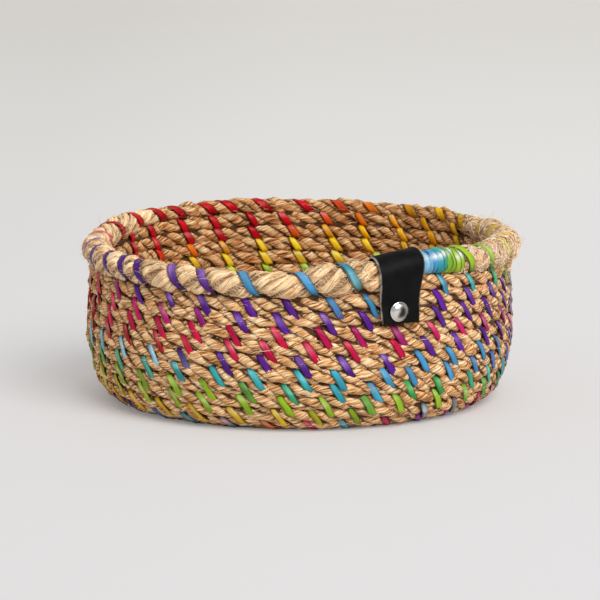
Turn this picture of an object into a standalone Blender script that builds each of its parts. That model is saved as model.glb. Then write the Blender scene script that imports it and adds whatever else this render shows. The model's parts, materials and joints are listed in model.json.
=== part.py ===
"""A round coiled bowl of sisal rope, sewn with dyed ribbon.

One rope starts at an eye in the middle of the floor, spirals outwards, turns up
through a rounded corner and climbs as the wall. Its last round swells to a soft
rim. A ribbon winds round each round of the wall and passes between it and the
next one. A strap of leather is folded over the rope's bound end, and a cap rivet
holds it through the wall.

The bowl stands on z = 0, its axis is z and its front is towards -y. The rope runs
clockwise, seen from above, and places along it are given in rounds, counted from
the eye. Every whole number of rounds lies under the middle of the label.
"""
import math

import bmesh
import bpy
import numpy as np

MM = 0.001

# Gap left between two pieces that touch on the real bowl
CLEARANCE = 0.35 * MM

# Rope: as thick as its six-sided stand-in is from edge to edge
ROPE_THICKNESS = 5.3 * MM
ROUNDS = 24
RUNS_PER_ROUND = 24
ROPE_SIDES = 6
EYE_RADIUS = 3.2 * MM
FLAT_DEPTH_SHARE = 0.1

# Floor and corner, measured to the middle of the rope
FLOOR_RADIUS = 75.6 * MM
CORNER_RADIUS = 17.0 * MM
CORNER_TURN = math.radians(66.0)

# Which way the wall leans on its way up: shares of its length, and degrees from level
WALL_SHARES = (0.0, 0.12, 0.22, 0.34, 0.6, 0.85, 1.0)
WALL_HEADINGS = (68.0, 72.0, 76.0, 90.0, 94.0, 95.0, 90.0)
PROFILE_STEPS = 48

# Rim: the last round's height unswollen and fully swollen, and where its swelling changes
RIM_THIN = 6.0 * MM
RIM_THICK = 11.6 * MM
RIM_ROUND_SHARES = (0.0, 0.035, 0.085, 0.965, 0.986)
RIM_SWELL_SHARES = (0.6, 1.35, 1.0, 1.0, 0.5)

# Ribbon, its width measured along the rope
RIBBON_WIDTH = 3.6 * MM
RIBBON_THICKNESS = 0.3 * MM
STITCHES_PER_ROUND = 32
STITCH_FACE_SHARE = 0.36
STITCH_DRIFT_SHARE = -0.12
STITCH_ROOM = 0.45 * MM
RIBBON_END_ROOM = 4.0 * MM

# Close winding round the end of the rope
BINDING_WRAPS = 9
BINDING_WIDTH = 2.5 * MM
BINDING_SPACING = 3.1 * MM
BINDING_ROOM = 1.2 * MM

# Label: its angle round the bowl, a strap folded over the rim
LABEL_ANGLE = math.radians(-63.5)
LABEL_TOP_WIDTH = 22.0 * MM
LABEL_FOOT_WIDTH = 18.0 * MM
LABEL_THICKNESS = 1.1 * MM
LABEL_TAIL = 6.6 * MM
LABEL_COLUMNS = 4
LABEL_OVER_STEPS = 8
LABEL_WRAP_ANGLE = math.radians(22.0)

# Cap rivet through the label and the wall
RIVET_GAP_BELOW_RIM = 1
RIVET_CAP_DIAMETER = 9.0 * MM
RIVET_CAP_HEIGHT = 2.2 * MM
RIVET_POST_DIAMETER = 2.4 * MM
RIVET_HEAD_DIAMETER = 8.0 * MM
RIVET_HEAD_HEIGHT = 0.9 * MM
RIVET_SOCKET_DEPTH = 1.1 * MM
RIVET_SEGMENTS = 16
RIVET_BRIM_SHARE = 0.25
RIVET_CHAMFER_SHARE = 0.35

# How far a cutter passes what it cuts, how near two points are one, and where shading breaks
OVERRUN = 2.0 * MM
MERGE_DISTANCE = 0.003 * MM
SHARP_DEGREES = 40

# Worked out from the values above
PITCH = ROPE_THICKNESS + RIBBON_THICKNESS + 2 * CLEARANCE
ROPE_HALF = ROPE_THICKNESS / 2
FLAT_HALF_SHARE = math.cos(math.pi / ROPE_SIDES)
FLOOR_LENGTH = FLOOR_RADIUS - EYE_RADIUS
CORNER_END = FLOOR_LENGTH + CORNER_TURN * CORNER_RADIUS
RIM_START = ROUNDS - 1
RIM_END = RIM_START + RIM_ROUND_SHARES[-1]

# Where the stretches of the one rope begin, and the first round with its own ribbon node
CORNER_ROUND = math.ceil(FLOOR_LENGTH / PITCH)
WALL_ROUND = math.ceil(CORNER_END / PITCH)
UPPER_WALL_ROUND = (WALL_ROUND + RIM_START) // 2
FIRST_SEWN_ROUND = CORNER_ROUND + 1
SEWN_ROUNDS = ROUNDS - FIRST_SEWN_ROUND
RIVET_ROUND = RIM_START - RIVET_GAP_BELOW_RIM - 1


def profile():
    """Length, radius, height and heading of the coil in section, from the eye to the rim.

    The heading is level over the floor, turns steadily in the corner and follows
    WALL_HEADINGS in the wall; radius and height add up short steps along it.
    """
    length = np.linspace(0.0, ROUNDS * PITCH, ROUNDS * PROFILE_STEPS + 1)
    middle = (length[1:] + length[:-1]) / 2
    turned = np.clip((middle - FLOOR_LENGTH) / CORNER_RADIUS, 0.0, CORNER_TURN)
    climbed = (middle - CORNER_END) / (length[-1] - CORNER_END)
    leaning = np.radians(np.interp(climbed, WALL_SHARES, WALL_HEADINGS))
    heading = np.where(climbed > 0.0, leaning, turned)
    step = np.diff(length)
    radius = EYE_RADIUS + np.concatenate([[0.0], np.cumsum(np.cos(heading) * step)])
    floor_height = ROPE_HALF * FLAT_HALF_SHARE - ROPE_THICKNESS * FLAT_DEPTH_SHARE
    height = floor_height + np.concatenate([[0.0], np.cumsum(np.sin(heading) * step)])
    return length, radius, height, np.concatenate([heading, heading[-1:]])


PROFILE_LENGTH, PROFILE_RADIUS, PROFILE_HEIGHT, PROFILE_HEADING = profile()


def angle_at(rounds):
    """Angle about the bowl's axis after some rounds, running clockwise from the label."""
    return LABEL_ANGLE - 2 * math.pi * rounds


def coil(rounds):
    """The plain rope: x, y, z, half its rise, half its spread and the tilt of its section.

    The rise is towards the neighbouring rounds, where the section has its edges.
    """
    rounds = np.asarray(rounds, float)
    radius = np.interp(rounds * PITCH, PROFILE_LENGTH, PROFILE_RADIUS)
    height = np.interp(rounds * PITCH, PROFILE_LENGTH, PROFILE_HEIGHT)
    tilt = np.interp(rounds * PITCH, PROFILE_LENGTH, PROFILE_HEADING)
    angle = angle_at(rounds)
    rise = np.full_like(radius, ROPE_HALF)
    spread = rise * FLAT_HALF_SHARE
    return np.stack((radius * np.cos(angle), radius * np.sin(angle), height, rise, spread, tilt), axis=-1)


def rim(rounds):
    """The swollen last round, straight above the round below it, with its flats up and down."""
    rounds = np.asarray(rounds, float)
    swell = np.interp(rounds - RIM_START, RIM_ROUND_SHARES, RIM_SWELL_SHARES)
    rise = (RIM_THIN + swell * (RIM_THICK - RIM_THIN)) / 2
    places = coil(rounds - 1)
    places[..., 2] += ROPE_HALF + (PITCH - ROPE_THICKNESS) + rise
    places[..., 3] = rise
    places[..., 4] = rise / FLAT_HALF_SHARE
    places[..., 5] = 0.0
    return places


def on_runs(rounds, path):
    """The path's value on the straight runs that stand in for it, which meet at half steps."""
    step = np.asarray(rounds, float) * RUNS_PER_ROUND - 0.5
    before = np.floor(step)
    start = path((before + 0.5) / RUNS_PER_ROUND)
    end = path((before + 1.5) / RUNS_PER_ROUND)
    return start + (step - before)[..., None] * (end - start)


def rope(rounds, straight=True):
    """Middle of the rope, plain or rim, on its straight runs or on the true spiral."""
    rounds = np.asarray(rounds, float)
    in_rim = (rounds >= RIM_START)[..., None]
    if straight:
        return np.where(in_rim, on_runs(rounds, rim), on_runs(rounds, coil))
    return np.where(in_rim, rim(rounds), coil(rounds))


def rounds_for(length, radius):
    """The share of a round that a length along the rope takes at a radius."""
    return length / (2 * math.pi * radius)


def new_object(name, data, collection, material=None):
    obj = bpy.data.objects.new(name, data)
    collection.objects.link(obj)
    if material is not None:
        data.materials.append(material)
    return obj


def new_material(name, color, roughness, metallic=0.0):
    material = bpy.data.materials.new(name)
    material.use_nodes = True
    shader = material.node_tree.nodes["Principled BSDF"]
    shader.inputs["Base Color"].default_value = (*color, 1.0)
    shader.inputs["Roughness"].default_value = roughness
    shader.inputs["Metallic"].default_value = metallic
    material.diffuse_color = (*color, 1.0)
    return material


def shade_round(obj):
    obj.data.shade_smooth()
    obj.data.set_sharp_from_angle(angle=math.radians(SHARP_DEGREES))


def rope_stretch(name, start, end, path, collection, material):
    """One unbroken six-sided tube along the coil, ending half a clearance short of start and end."""
    first = math.ceil(start * RUNS_PER_ROUND - 0.5)
    last = math.floor(end * RUNS_PER_ROUND - 0.5)
    corners = (np.arange(first, last + 1) + 0.5) / RUNS_PER_ROUND
    trim_start = rounds_for(CLEARANCE / 2, coil_radius(start))
    trim_end = rounds_for(CLEARANCE / 2, coil_radius(end))
    rounds = np.concatenate([[start + trim_start], corners, [end - trim_end]])
    places = on_runs(rounds, path)
    curve = bpy.data.curves.new(name, "CURVE")
    curve.dimensions = "3D"
    curve.twist_mode = "Z_UP"
    curve.bevel_depth = ROPE_HALF
    curve.bevel_resolution = 1
    curve.use_fill_caps = True
    spline = curve.splines.new("POLY")
    spline.points.add(len(rounds) - 1)
    widest = np.maximum(places[:, 3], places[:, 4])
    for point, place, half in zip(spline.points, places, widest):
        point.co = (*place[:3], 1.0)
        point.radius = half / ROPE_HALF
        point.tilt = place[5]
    return new_object(name, curve, collection, material)


def coil_radius(rounds):
    """Distance of the rope's middle from the bowl's axis."""
    place = coil(rounds)
    return float(np.hypot(place[..., 0], place[..., 1]))


def as_mesh(obj, collection):
    """The same tube as a mesh with welded caps, so that it can be cut."""
    graph = bpy.context.evaluated_depsgraph_get()
    mesh = bpy.data.meshes.new_from_object(obj.evaluated_get(graph))
    work = bmesh.new()
    work.from_mesh(mesh)
    bmesh.ops.remove_doubles(work, verts=work.verts, dist=MERGE_DISTANCE)
    work.to_mesh(mesh)
    work.free()
    name = obj.name
    turned = obj.matrix_world.copy()
    bpy.data.objects.remove(obj)
    solid = new_object(name, mesh, collection)
    solid.matrix_world = turned
    return solid


def cut(obj, cutter):
    boolean = obj.modifiers.new(cutter.name, "BOOLEAN")
    boolean.operation = "DIFFERENCE"
    boolean.solver = "EXACT"
    boolean.object = cutter


def as_cutter(obj, collection):
    for holder in list(obj.users_collection):
        holder.objects.unlink(obj)
    collection.objects.link(obj)
    obj.hide_render = True
    obj.display_type = "WIRE"
    return obj


def ribbon_corner(rounds, outward, upward):
    """Where the ribbon turns round one corner of the rope's section.

    It lies half way to the neighbouring round, above or below, and clear of the
    rope's outer or inner side. It is pressed flat where the bowl stands on it.
    """
    here = rope(rounds)
    true = rope(rounds, straight=False)
    below = rope(rounds - 1)
    above = np.where((rounds + 1 < RIM_END)[..., None], rope(rounds + 1), 2 * here - below)
    across = (above - here if upward else here - below)[..., :3]
    across = across / np.linalg.norm(across, axis=-1, keepdims=True)
    angle = angle_at(rounds)
    radial = np.stack([np.cos(angle), np.sin(angle), np.zeros_like(angle)], axis=-1)
    lean = np.sum(across * radial, axis=-1, keepdims=True)
    side = radial - lean * across
    side = side / np.linalg.norm(side, axis=-1, keepdims=True)
    level = here[..., 3] + (PITCH - ROPE_THICKNESS) / 2
    reach = here[..., 4] + CLEARANCE + STITCH_ROOM + RIBBON_THICKNESS / 2
    bulge = np.linalg.norm((true - here)[..., :3], axis=-1)
    reach = reach + (bulge if outward else 0.0)
    side_sign = 1 if outward else -1
    rise_sign = 1 if upward else -1
    corner = here[..., :3] + rise_sign * level[..., None] * across + side_sign * reach[..., None] * side
    corner[..., 2] = np.maximum(corner[..., 2], RIBBON_THICKNESS)
    return corner


def strip_object(name, edge_a, edge_b, thickness, collection, material):
    """A strip between two rows of points, thickened evenly on both sides."""
    count = len(edge_a)
    vertices = np.concatenate([edge_a, edge_b])
    faces = [(i, i + 1, count + i + 1, count + i) for i in range(count - 1)]
    mesh = bpy.data.meshes.new(name)
    mesh.from_pydata(vertices.tolist(), [], faces)
    obj = new_object(name, mesh, collection, material)
    solid = obj.modifiers.new("thickness", "SOLIDIFY")
    solid.thickness = thickness
    solid.offset = 0.0
    solid.use_even_offset = True
    return obj


def around_rim(rounds, swing):
    """A place clear of the rim's six-sided section, at an angle counted up from its outer edge."""
    here = on_runs(rounds, rim)
    angle = angle_at(rounds)
    outwards = np.cos(swing)[..., None]
    radial = np.stack([np.cos(angle), np.sin(angle), np.zeros_like(angle)], axis=-1)
    upright = np.array([0.0, 0.0, 1.0])
    reach = here[..., 4] + (CLEARANCE + RIBBON_THICKNESS / 2) / FLAT_HALF_SHARE
    bulge = (rim(rounds) - here)[..., :3] * np.maximum(outwards, 0.0)
    offset = outwards * radial + np.sin(swing)[..., None] * upright
    return here[..., :3] + bulge + reach[..., None] * offset


def wall_turns():
    """Corners of one stitch in the wall: its share of the stitch and the place's function."""
    pass_share = 0.5 - STITCH_FACE_SHARE
    return (
        (0.0, lambda place: ribbon_corner(place, outward=True, upward=False)),
        (STITCH_FACE_SHARE, lambda place: ribbon_corner(place, outward=True, upward=True)),
        (STITCH_FACE_SHARE + pass_share, lambda place: ribbon_corner(place, outward=False, upward=True)),
        (1.0 - pass_share, lambda place: ribbon_corner(place, outward=False, upward=False)),
    )


def rim_turns():
    """Corners of one stitch round the rim, one at each edge of its section."""
    half_face = STITCH_FACE_SHARE / 2
    shares = (0.0, half_face, 2 * half_face, 0.5, 0.5 + half_face, 0.5 + 2 * half_face)
    edge = 2 * math.pi / ROPE_SIDES
    turns = []
    for index, share in enumerate(shares):
        swing = np.array((index - 1) * edge)
        turns.append((share, lambda place, swing=swing: around_rim(place, swing)))
    return turns


def ribbon_row(name, row, collection, material):
    """One length of ribbon, wound round one round of the rope and ending under the label.

    Each stitch climbs the rope's outer face, passes in over its top, goes down the
    inner face and comes out underneath, moving along the rope all the way.
    """
    in_rim = row == RIM_START
    radius = coil_radius(row)
    half_width = rounds_for(RIBBON_WIDTH / 2, radius)
    start_room = rounds_for(RIBBON_END_ROOM, radius)
    if in_rim:
        start_room = rounds_for(LABEL_TOP_WIDTH / 2 + CLEARANCE, radius) + half_width
    last = row + 1 - start_room
    if row >= RIM_START - 1:
        last = row - RIM_START + binding_span()[0] - 2 * half_width
    drift = STITCH_DRIFT_SHARE * (row - FIRST_SEWN_ROUND)
    edges = [[], []]
    spare = math.ceil(abs(drift)) + 1
    for stitch in range(-spare, STITCHES_PER_ROUND + spare):
        for share, corner in rim_turns() if in_rim else wall_turns():
            place = row + (stitch + share + drift) / STITCHES_PER_ROUND
            if place < row + start_room or place > last:
                continue
            for edge, shift in zip(edges, (-half_width, half_width)):
                edge.append(corner(np.array(place + shift)))
    return strip_object(name, np.array(edges[0]), np.array(edges[1]), RIBBON_THICKNESS, collection, material)


def binding_span():
    """Where the close winding starts and ends: just short of the label's edge."""
    radius = coil_radius(RIM_START)
    end = RIM_START + 1 - rounds_for(LABEL_TOP_WIDTH / 2 + BINDING_ROOM + BINDING_WIDTH / 2, radius)
    return end - rounds_for(BINDING_WRAPS * BINDING_SPACING, radius), end


def end_binding(collection, material):
    """The close winding: a helix whose turns follow the rope's six sides."""
    turns = np.arange(BINDING_WRAPS * ROPE_SIDES + 1) / ROPE_SIDES
    start, end = binding_span()
    middle = start + (end - start) * turns / BINDING_WRAPS
    half_width = rounds_for(BINDING_WIDTH / 2, coil_radius(RIM_START))
    swing = 2 * math.pi * turns
    edges = [around_rim(middle + shift, swing) for shift in (-half_width, half_width)]
    return strip_object("end_binding", edges[0], edges[1], RIBBON_THICKNESS, collection, material)


def wall_radius(height):
    """Radius of the rope's middle in the wall at a height."""
    return float(np.interp(height, PROFILE_HEIGHT, PROFILE_RADIUS))


def rivet_height():
    """The rivet passes half way between its round and the next one up."""
    return float(coil(RIVET_ROUND)[2] + coil(RIVET_ROUND + 1)[2]) / 2


def sagitta(radius):
    """How far a straight run lies inside the true circle."""
    return radius * (1 - math.cos(math.pi / RUNS_PER_ROUND))


def leg_radii(height):
    """Radius of the strap's middle outside and inside the wall, clear of rope and ribbon."""
    radius = wall_radius(height)
    off = ROPE_HALF + 2 * CLEARANCE + STITCH_ROOM + RIBBON_THICKNESS + LABEL_THICKNESS / 2
    return radius + off, radius - sagitta(radius) - off


def label_section(rim_place):
    """The strap's line in section, up the outside, over the rim and down the inside."""
    radius = float(np.hypot(rim_place[0], rim_place[1])) - sagitta(coil_radius(RIM_START)) / 2
    over = RIM_THICK / 2 / FLAT_HALF_SHARE + CLEARANCE + LABEL_THICKNESS / 2
    over = over + sagitta(coil_radius(RIM_START)) / 2
    foot = rivet_height() - LABEL_TAIL
    shoulder = rivet_height() + RIVET_CAP_DIAMETER / 2
    outside = [(leg_radii(height)[0], height) for height in (foot, rivet_height(), shoulder)]
    inside = [(leg_radii(height)[1], height) for height in (shoulder, rivet_height(), foot)]
    angles = np.linspace(-LABEL_WRAP_ANGLE, math.pi + LABEL_WRAP_ANGLE, LABEL_OVER_STEPS + 1)
    arch = [(radius + over * math.cos(a), float(rim_place[2]) + over * math.sin(a)) for a in angles]
    return np.array(outside + arch + inside)


def label_strap(collection, material):
    """Leather folded over the rim, tilted to follow the rope's step and tapered to its foot."""
    half_top = rounds_for(LABEL_TOP_WIDTH / 2, coil_radius(RIM_START))
    left = label_section(rim(RIM_START + half_top))
    right = label_section(rim(RIM_START + 1 - half_top))
    foot_share = LABEL_FOOT_WIDTH / LABEL_TOP_WIDTH
    low, high = left[:, 1].min(), left[:, 1].max()
    width_share = np.interp(left[:, 1], (low, high), (foot_share, 1.0))
    columns = np.linspace(-1.0, 1.0, LABEL_COLUMNS + 1)
    vertices = []
    for column in columns:
        section = left + (column + 1) / 2 * (right - left)
        turn = column * half_top * 2 * math.pi * width_share
        angle = LABEL_ANGLE + turn
        rows = (section[:, 0] * np.cos(angle), section[:, 0] * np.sin(angle), section[:, 1])
        vertices.append(np.stack(rows, axis=-1))
    rows = len(left)
    faces = []
    for column in range(LABEL_COLUMNS):
        for row in range(rows - 1):
            start = column * rows + row
            faces.append((start, start + rows, start + rows + 1, start + 1))
    mesh = bpy.data.meshes.new("label_strap")
    mesh.from_pydata(np.concatenate(vertices).tolist(), [], faces)
    obj = new_object("label_strap", mesh, collection, material)
    solid = obj.modifiers.new("thickness", "SOLIDIFY")
    solid.thickness = LABEL_THICKNESS
    solid.offset = 0.0
    solid.use_even_offset = True
    return obj


def turned_object(name, outline, collection, material):
    """A shape turned about the rivet's line. Its outline gives radius and distance outwards."""
    mesh = bpy.data.meshes.new(name)
    vertices = [(radius, 0.0, along) for radius, along in outline]
    mesh.from_pydata(vertices, [(i, i + 1) for i in range(len(vertices) - 1)], [])
    obj = new_object(name, mesh, collection, material)
    screw = obj.modifiers.new("turn", "SCREW")
    screw.axis = "Z"
    screw.angle = 2 * math.pi
    screw.steps = RIVET_SEGMENTS
    screw.render_steps = RIVET_SEGMENTS
    screw.use_merge_vertices = True
    screw.merge_threshold = MERGE_DISTANCE
    obj.rotation_euler = (0.0, math.pi / 2, LABEL_ANGLE)
    obj.location = (0.0, 0.0, rivet_height())
    return obj


def rivet_faces():
    """Radii of the strap's outermost and innermost faces at the rivet."""
    outer, inner = leg_radii(rivet_height())
    return outer + LABEL_THICKNESS / 2, inner - LABEL_THICKNESS / 2


def rivet_cap(collection, material):
    """Domed cap on the strap's outer face, with a socket for the post."""
    outer, _ = rivet_faces()
    seat = outer + CLEARANCE
    radius = RIVET_CAP_DIAMETER / 2
    socket = RIVET_POST_DIAMETER / 2 + CLEARANCE
    brim = RIVET_CAP_HEIGHT * RIVET_BRIM_SHARE
    dome = [(radius * math.cos(a), seat + brim + (RIVET_CAP_HEIGHT - brim) * math.sin(a))
            for a in np.linspace(math.pi / 2, 0.0, RIVET_SEGMENTS // 4)]
    depth = seat + RIVET_SOCKET_DEPTH
    outline = [(0.0, dome[0][1])] + dome[1:] + [(radius, seat), (socket, seat), (socket, depth), (0.0, depth)]
    return turned_object("rivet_cap", outline, collection, material)


def rivet_post(collection, material):
    """Flat head inside the bowl and a post that reaches into the cap's socket."""
    outer, inner = rivet_faces()
    head_top = inner - CLEARANCE
    head_bottom = head_top - RIVET_HEAD_HEIGHT
    head = RIVET_HEAD_DIAMETER / 2
    post = RIVET_POST_DIAMETER / 2
    chamfer = RIVET_HEAD_HEIGHT * RIVET_CHAMFER_SHARE
    tip = outer + RIVET_SOCKET_DEPTH
    outline = [
        (0.0, tip),
        (post, tip),
        (post, head_top),
        (head, head_top),
        (head, head_bottom + chamfer),
        (head - chamfer, head_bottom),
        (0.0, head_bottom),
    ]
    return turned_object("rivet_post", outline, collection, material)


def rivet_hole(collection):
    """Round cutter for the hole through both legs of the strap and the wall."""
    outer, inner = rivet_faces()
    hole = RIVET_POST_DIAMETER / 2 + CLEARANCE
    outline = [
        (0.0, outer + OVERRUN),
        (hole, outer + OVERRUN),
        (hole, inner - OVERRUN),
        (0.0, inner - OVERRUN),
    ]
    cutter = turned_object("rivet_hole", outline, collection, None)
    return as_cutter(cutter, collection)


def ground(collection):
    """Slab under the bowl that cuts the floor's rounds and the first round past it flat."""
    reach = FLOOR_RADIUS + CORNER_RADIUS + OVERRUN
    bpy.ops.mesh.primitive_cube_add(size=1.0)
    slab = bpy.context.object
    slab.name = "ground"
    slab.dimensions = (2 * reach, 2 * reach, ROPE_THICKNESS)
    bpy.ops.object.transform_apply(scale=True)
    slab.location = (0.0, 0.0, -ROPE_THICKNESS / 2)
    return as_cutter(slab, collection)


def least_gap():
    """The coil's least distance to itself, face to face, away from its own course."""
    per_round = 2 * RUNS_PER_ROUND
    rounds = np.arange(RIM_START * per_round, dtype=float) / per_round
    places = on_runs(rounds, coil)
    last = np.arange(RIM_START * per_round, int(RIM_END * per_round)) / per_round
    places = np.concatenate([places, on_runs(last, rim)])
    least = math.inf
    for index in range(len(places) - RUNS_PER_ROUND):
        others = places[index + RUNS_PER_ROUND:]
        apart = np.linalg.norm(others[:, :3] - places[index, :3], axis=1)
        least = min(least, float(np.min(apart - others[:, 3] - places[index, 3])))
    return least


def ribbon_color(share):
    """Dye of a row by its share of the wall's height: yellow, green, blue, red, purple, teal."""
    stops = (0.0, 0.2, 0.35, 0.6, 0.85, 1.0)
    red = np.interp(share, stops, (0.90, 0.30, 0.05, 0.70, 0.22, 0.03))
    green = np.interp(share, stops, (0.55, 0.55, 0.35, 0.02, 0.05, 0.35))
    blue = np.interp(share, stops, (0.02, 0.03, 0.45, 0.10, 0.45, 0.50))
    return float(red), float(green), float(blue)


def build():
    for old in list(bpy.data.objects):
        bpy.data.objects.remove(old)
    bowl = bpy.data.collections.new("coiled_bowl")
    cutters = bpy.data.collections.new("cutters")
    bpy.context.scene.collection.children.link(bowl)
    bpy.context.scene.collection.children.link(cutters)

    sisal = new_material("sisal", (0.52, 0.35, 0.20), 0.85)
    soft_sisal = new_material("soft_sisal", (0.60, 0.45, 0.30), 0.9)
    leather = new_material("black_leather", (0.012, 0.012, 0.013), 0.4)
    steel = new_material("plated_steel", (0.75, 0.75, 0.76), 0.2, 1.0)
    binding_dye = new_material("binding_ribbon", (0.10, 0.45, 0.60), 0.35)

    base = rope_stretch("rope_base", 0, CORNER_ROUND, coil, bowl, sisal)
    slab = ground(cutters)
    cut(as_mesh(base, bowl), slab)
    hole = rivet_hole(cutters)
    wall_starts = (CORNER_ROUND, WALL_ROUND, UPPER_WALL_ROUND)
    wall_names = ("rope_corner", "rope_wall_lower", "rope_wall_upper")
    for name, start, end in zip(wall_names, wall_starts, (*wall_starts[1:], RIM_START)):
        stretch = as_mesh(rope_stretch(name, start, end, coil, bowl, sisal), bowl)
        if start == CORNER_ROUND:
            cut(stretch, slab)
        if start <= RIVET_ROUND + 1 and end >= RIVET_ROUND:
            cut(stretch, hole)
    rope_stretch("rope_rim", RIM_START, RIM_END, rim, bowl, soft_sisal)

    for index in range(SEWN_ROUNDS):
        dye = new_material(f"ribbon_{index + 1:02d}", ribbon_color(index / (SEWN_ROUNDS - 1)), 0.35)
        ribbon_row(f"ribbon_row_{index + 1:02d}", FIRST_SEWN_ROUND + index, bowl, dye)
    end_binding(bowl, binding_dye)

    cut(label_strap(bowl, leather), hole)
    for rivet in (rivet_cap(bowl, steel), rivet_post(bowl, steel)):
        shade_round(rivet)

    print(f"rope: {ROUNDS} rounds of {PITCH / MM:.2f} mm, least gap to itself {least_gap() / MM:.2f} mm")


build()
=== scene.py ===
# %% [markdown]
# # A coiled rope bowl, sewn with dyed ribbon
#
# A kiondo-style bowl is one long sisal rope, coiled from an eye in the floor, up
# through a rounded corner and round the wall. A satin ribbon in rainbow dyes winds
# round every round of the rope and passes through the round below, which holds the
# coil together. The last round is left soft and thick as a rim. Its end is bound
# with ribbon beside a folded leather strap with one cap rivet.
#
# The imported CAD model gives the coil, the strap and the rivet their sizes. This
# script dresses them: three twisted strands for the rope, locks and stray hairs for
# the rim, curved satin stitches, grained leather and plated metal.

# %% Load the frame
import json
import math

import bpy
import numpy as np
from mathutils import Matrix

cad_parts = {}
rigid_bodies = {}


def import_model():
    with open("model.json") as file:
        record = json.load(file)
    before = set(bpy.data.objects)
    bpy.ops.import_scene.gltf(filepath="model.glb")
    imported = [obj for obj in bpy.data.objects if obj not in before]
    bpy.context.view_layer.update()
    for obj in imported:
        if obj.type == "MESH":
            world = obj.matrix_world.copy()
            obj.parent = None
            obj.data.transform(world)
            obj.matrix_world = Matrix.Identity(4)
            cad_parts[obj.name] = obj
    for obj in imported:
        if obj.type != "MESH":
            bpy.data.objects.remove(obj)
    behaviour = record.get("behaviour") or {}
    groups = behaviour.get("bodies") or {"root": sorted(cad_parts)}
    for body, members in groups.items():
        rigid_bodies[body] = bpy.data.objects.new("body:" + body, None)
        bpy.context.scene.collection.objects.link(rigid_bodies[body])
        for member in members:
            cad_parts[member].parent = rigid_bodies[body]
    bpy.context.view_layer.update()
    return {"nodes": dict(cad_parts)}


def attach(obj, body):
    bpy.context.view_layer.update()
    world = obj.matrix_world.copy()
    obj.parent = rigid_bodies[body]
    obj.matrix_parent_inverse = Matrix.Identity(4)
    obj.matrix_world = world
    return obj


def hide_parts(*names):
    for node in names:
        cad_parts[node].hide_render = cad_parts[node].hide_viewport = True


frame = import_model()
MM = 0.001
TURN = 2 * math.pi
print("nodes:", ", ".join(sorted(frame["nodes"])))

# %% [markdown]
# ## The centre line of the coil
#
# On the real bowl every round lies against the last one, so in section the rope's
# middles sit one pitch apart on a line: level over the floor, bent through a corner
# and then up the wall. That line is the whole design of the bowl. It could be drawn
# as a curve object, but adding up short steps along a changing heading is easier to
# measure, and it is the way the frame was made, so both agree to the millimetre.

# %% The coil's section and its spiral
PITCH = 6.3 * MM
ROUNDS = 24
EYE_RADIUS = 3.2 * MM
FLOOR_LENGTH = 72.4 * MM
FLOOR_HEIGHT = 1.765 * MM
CORNER_RADIUS = 17.0 * MM
CORNER_TURN = math.radians(66.0)
WALL_SHARES = (0.0, 0.12, 0.22, 0.34, 0.6, 0.85, 1.0)
WALL_HEADINGS = (68.0, 72.0, 76.0, 90.0, 94.0, 95.0, 90.0)
LABEL_ANGLE = math.radians(-63.5)
LABEL_LIFT = 2.4 * MM
LIFTED_ROUNDS = (20.0, 23.0)
LIFTED_SHARES = (0.02, 0.085)
WALL_TUCK = 0.9 * MM
TUCK_ROUNDS = (14.0, 17.0)
TUCK_ENDS = (22.0, 23.0)
SECTION_STEPS = 48
TABLE_STEPS = 400
RIM_START = ROUNDS - 1
RIM_END = RIM_START + 0.986


def profile():
    """Length, radius, height and heading along the section, summed over short steps."""
    length = np.linspace(0.0, ROUNDS * PITCH, ROUNDS * SECTION_STEPS + 1)
    middle = (length[1:] + length[:-1]) / 2
    turned = np.clip((middle - FLOOR_LENGTH) / CORNER_RADIUS, 0.0, CORNER_TURN)
    corner_end = FLOOR_LENGTH + CORNER_TURN * CORNER_RADIUS
    climbed = (middle - corner_end) / (length[-1] - corner_end)
    leaning = np.radians(np.interp(climbed, WALL_SHARES, WALL_HEADINGS))
    heading = np.where(climbed > 0.0, leaning, turned)
    step = np.diff(length)
    radius = EYE_RADIUS + np.concatenate([[0.0], np.cumsum(np.cos(heading) * step)])
    height = FLOOR_HEIGHT + np.concatenate([[0.0], np.cumsum(np.sin(heading) * step)])
    return length, radius, height, np.concatenate([heading, heading[-1:]])


SECTION_LENGTH, SECTION_RADIUS, SECTION_HEIGHT, SECTION_HEADING = profile()


def directions(angle, heading):
    """Unit vectors along the rope, out of the bowl's skin and on towards the next round."""
    flat = np.stack([np.cos(angle), np.sin(angle), np.zeros_like(angle)], axis=-1)
    up = np.array([0.0, 0.0, 1.0])
    along = np.stack([np.sin(angle), -np.cos(angle), np.zeros_like(angle)], axis=-1)
    out = np.sin(heading)[..., None] * flat - np.cos(heading)[..., None] * up
    onward = np.cos(heading)[..., None] * flat + np.sin(heading)[..., None] * up
    return along, out, onward


def smooth(value, low, high):
    """0 below low, 1 above high and an S-shaped rise between them."""
    share = np.clip((value - low) / (high - low), 0.0, 1.0)
    return share * share * (3 - 2 * share)


def label_lift(rounds):
    """The upper rounds ride a little higher beside the strap, where the rope's two ends meet."""
    from_label = np.abs(rounds - np.round(rounds))
    return LABEL_LIFT * smooth(rounds, *LIFTED_ROUNDS) * (1 - smooth(from_label, *LIFTED_SHARES))


def coil(rounds):
    """Middle of the plain rope after some rounds, with its three directions."""
    rounds = np.asarray(rounds, float)
    radius = np.interp(rounds * PITCH, SECTION_LENGTH, SECTION_RADIUS)
    height = np.interp(rounds * PITCH, SECTION_LENGTH, SECTION_HEIGHT)
    heading = np.interp(rounds * PITCH, SECTION_LENGTH, SECTION_HEADING)
    angle = LABEL_ANGLE - TURN * rounds
    height = height + label_lift(rounds)
    radius = radius - WALL_TUCK * smooth(rounds, *TUCK_ROUNDS) * (1 - smooth(rounds, *TUCK_ENDS))
    middle = np.stack([radius * np.cos(angle), radius * np.sin(angle), height], axis=-1)
    return (middle, *directions(angle, heading))


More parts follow.
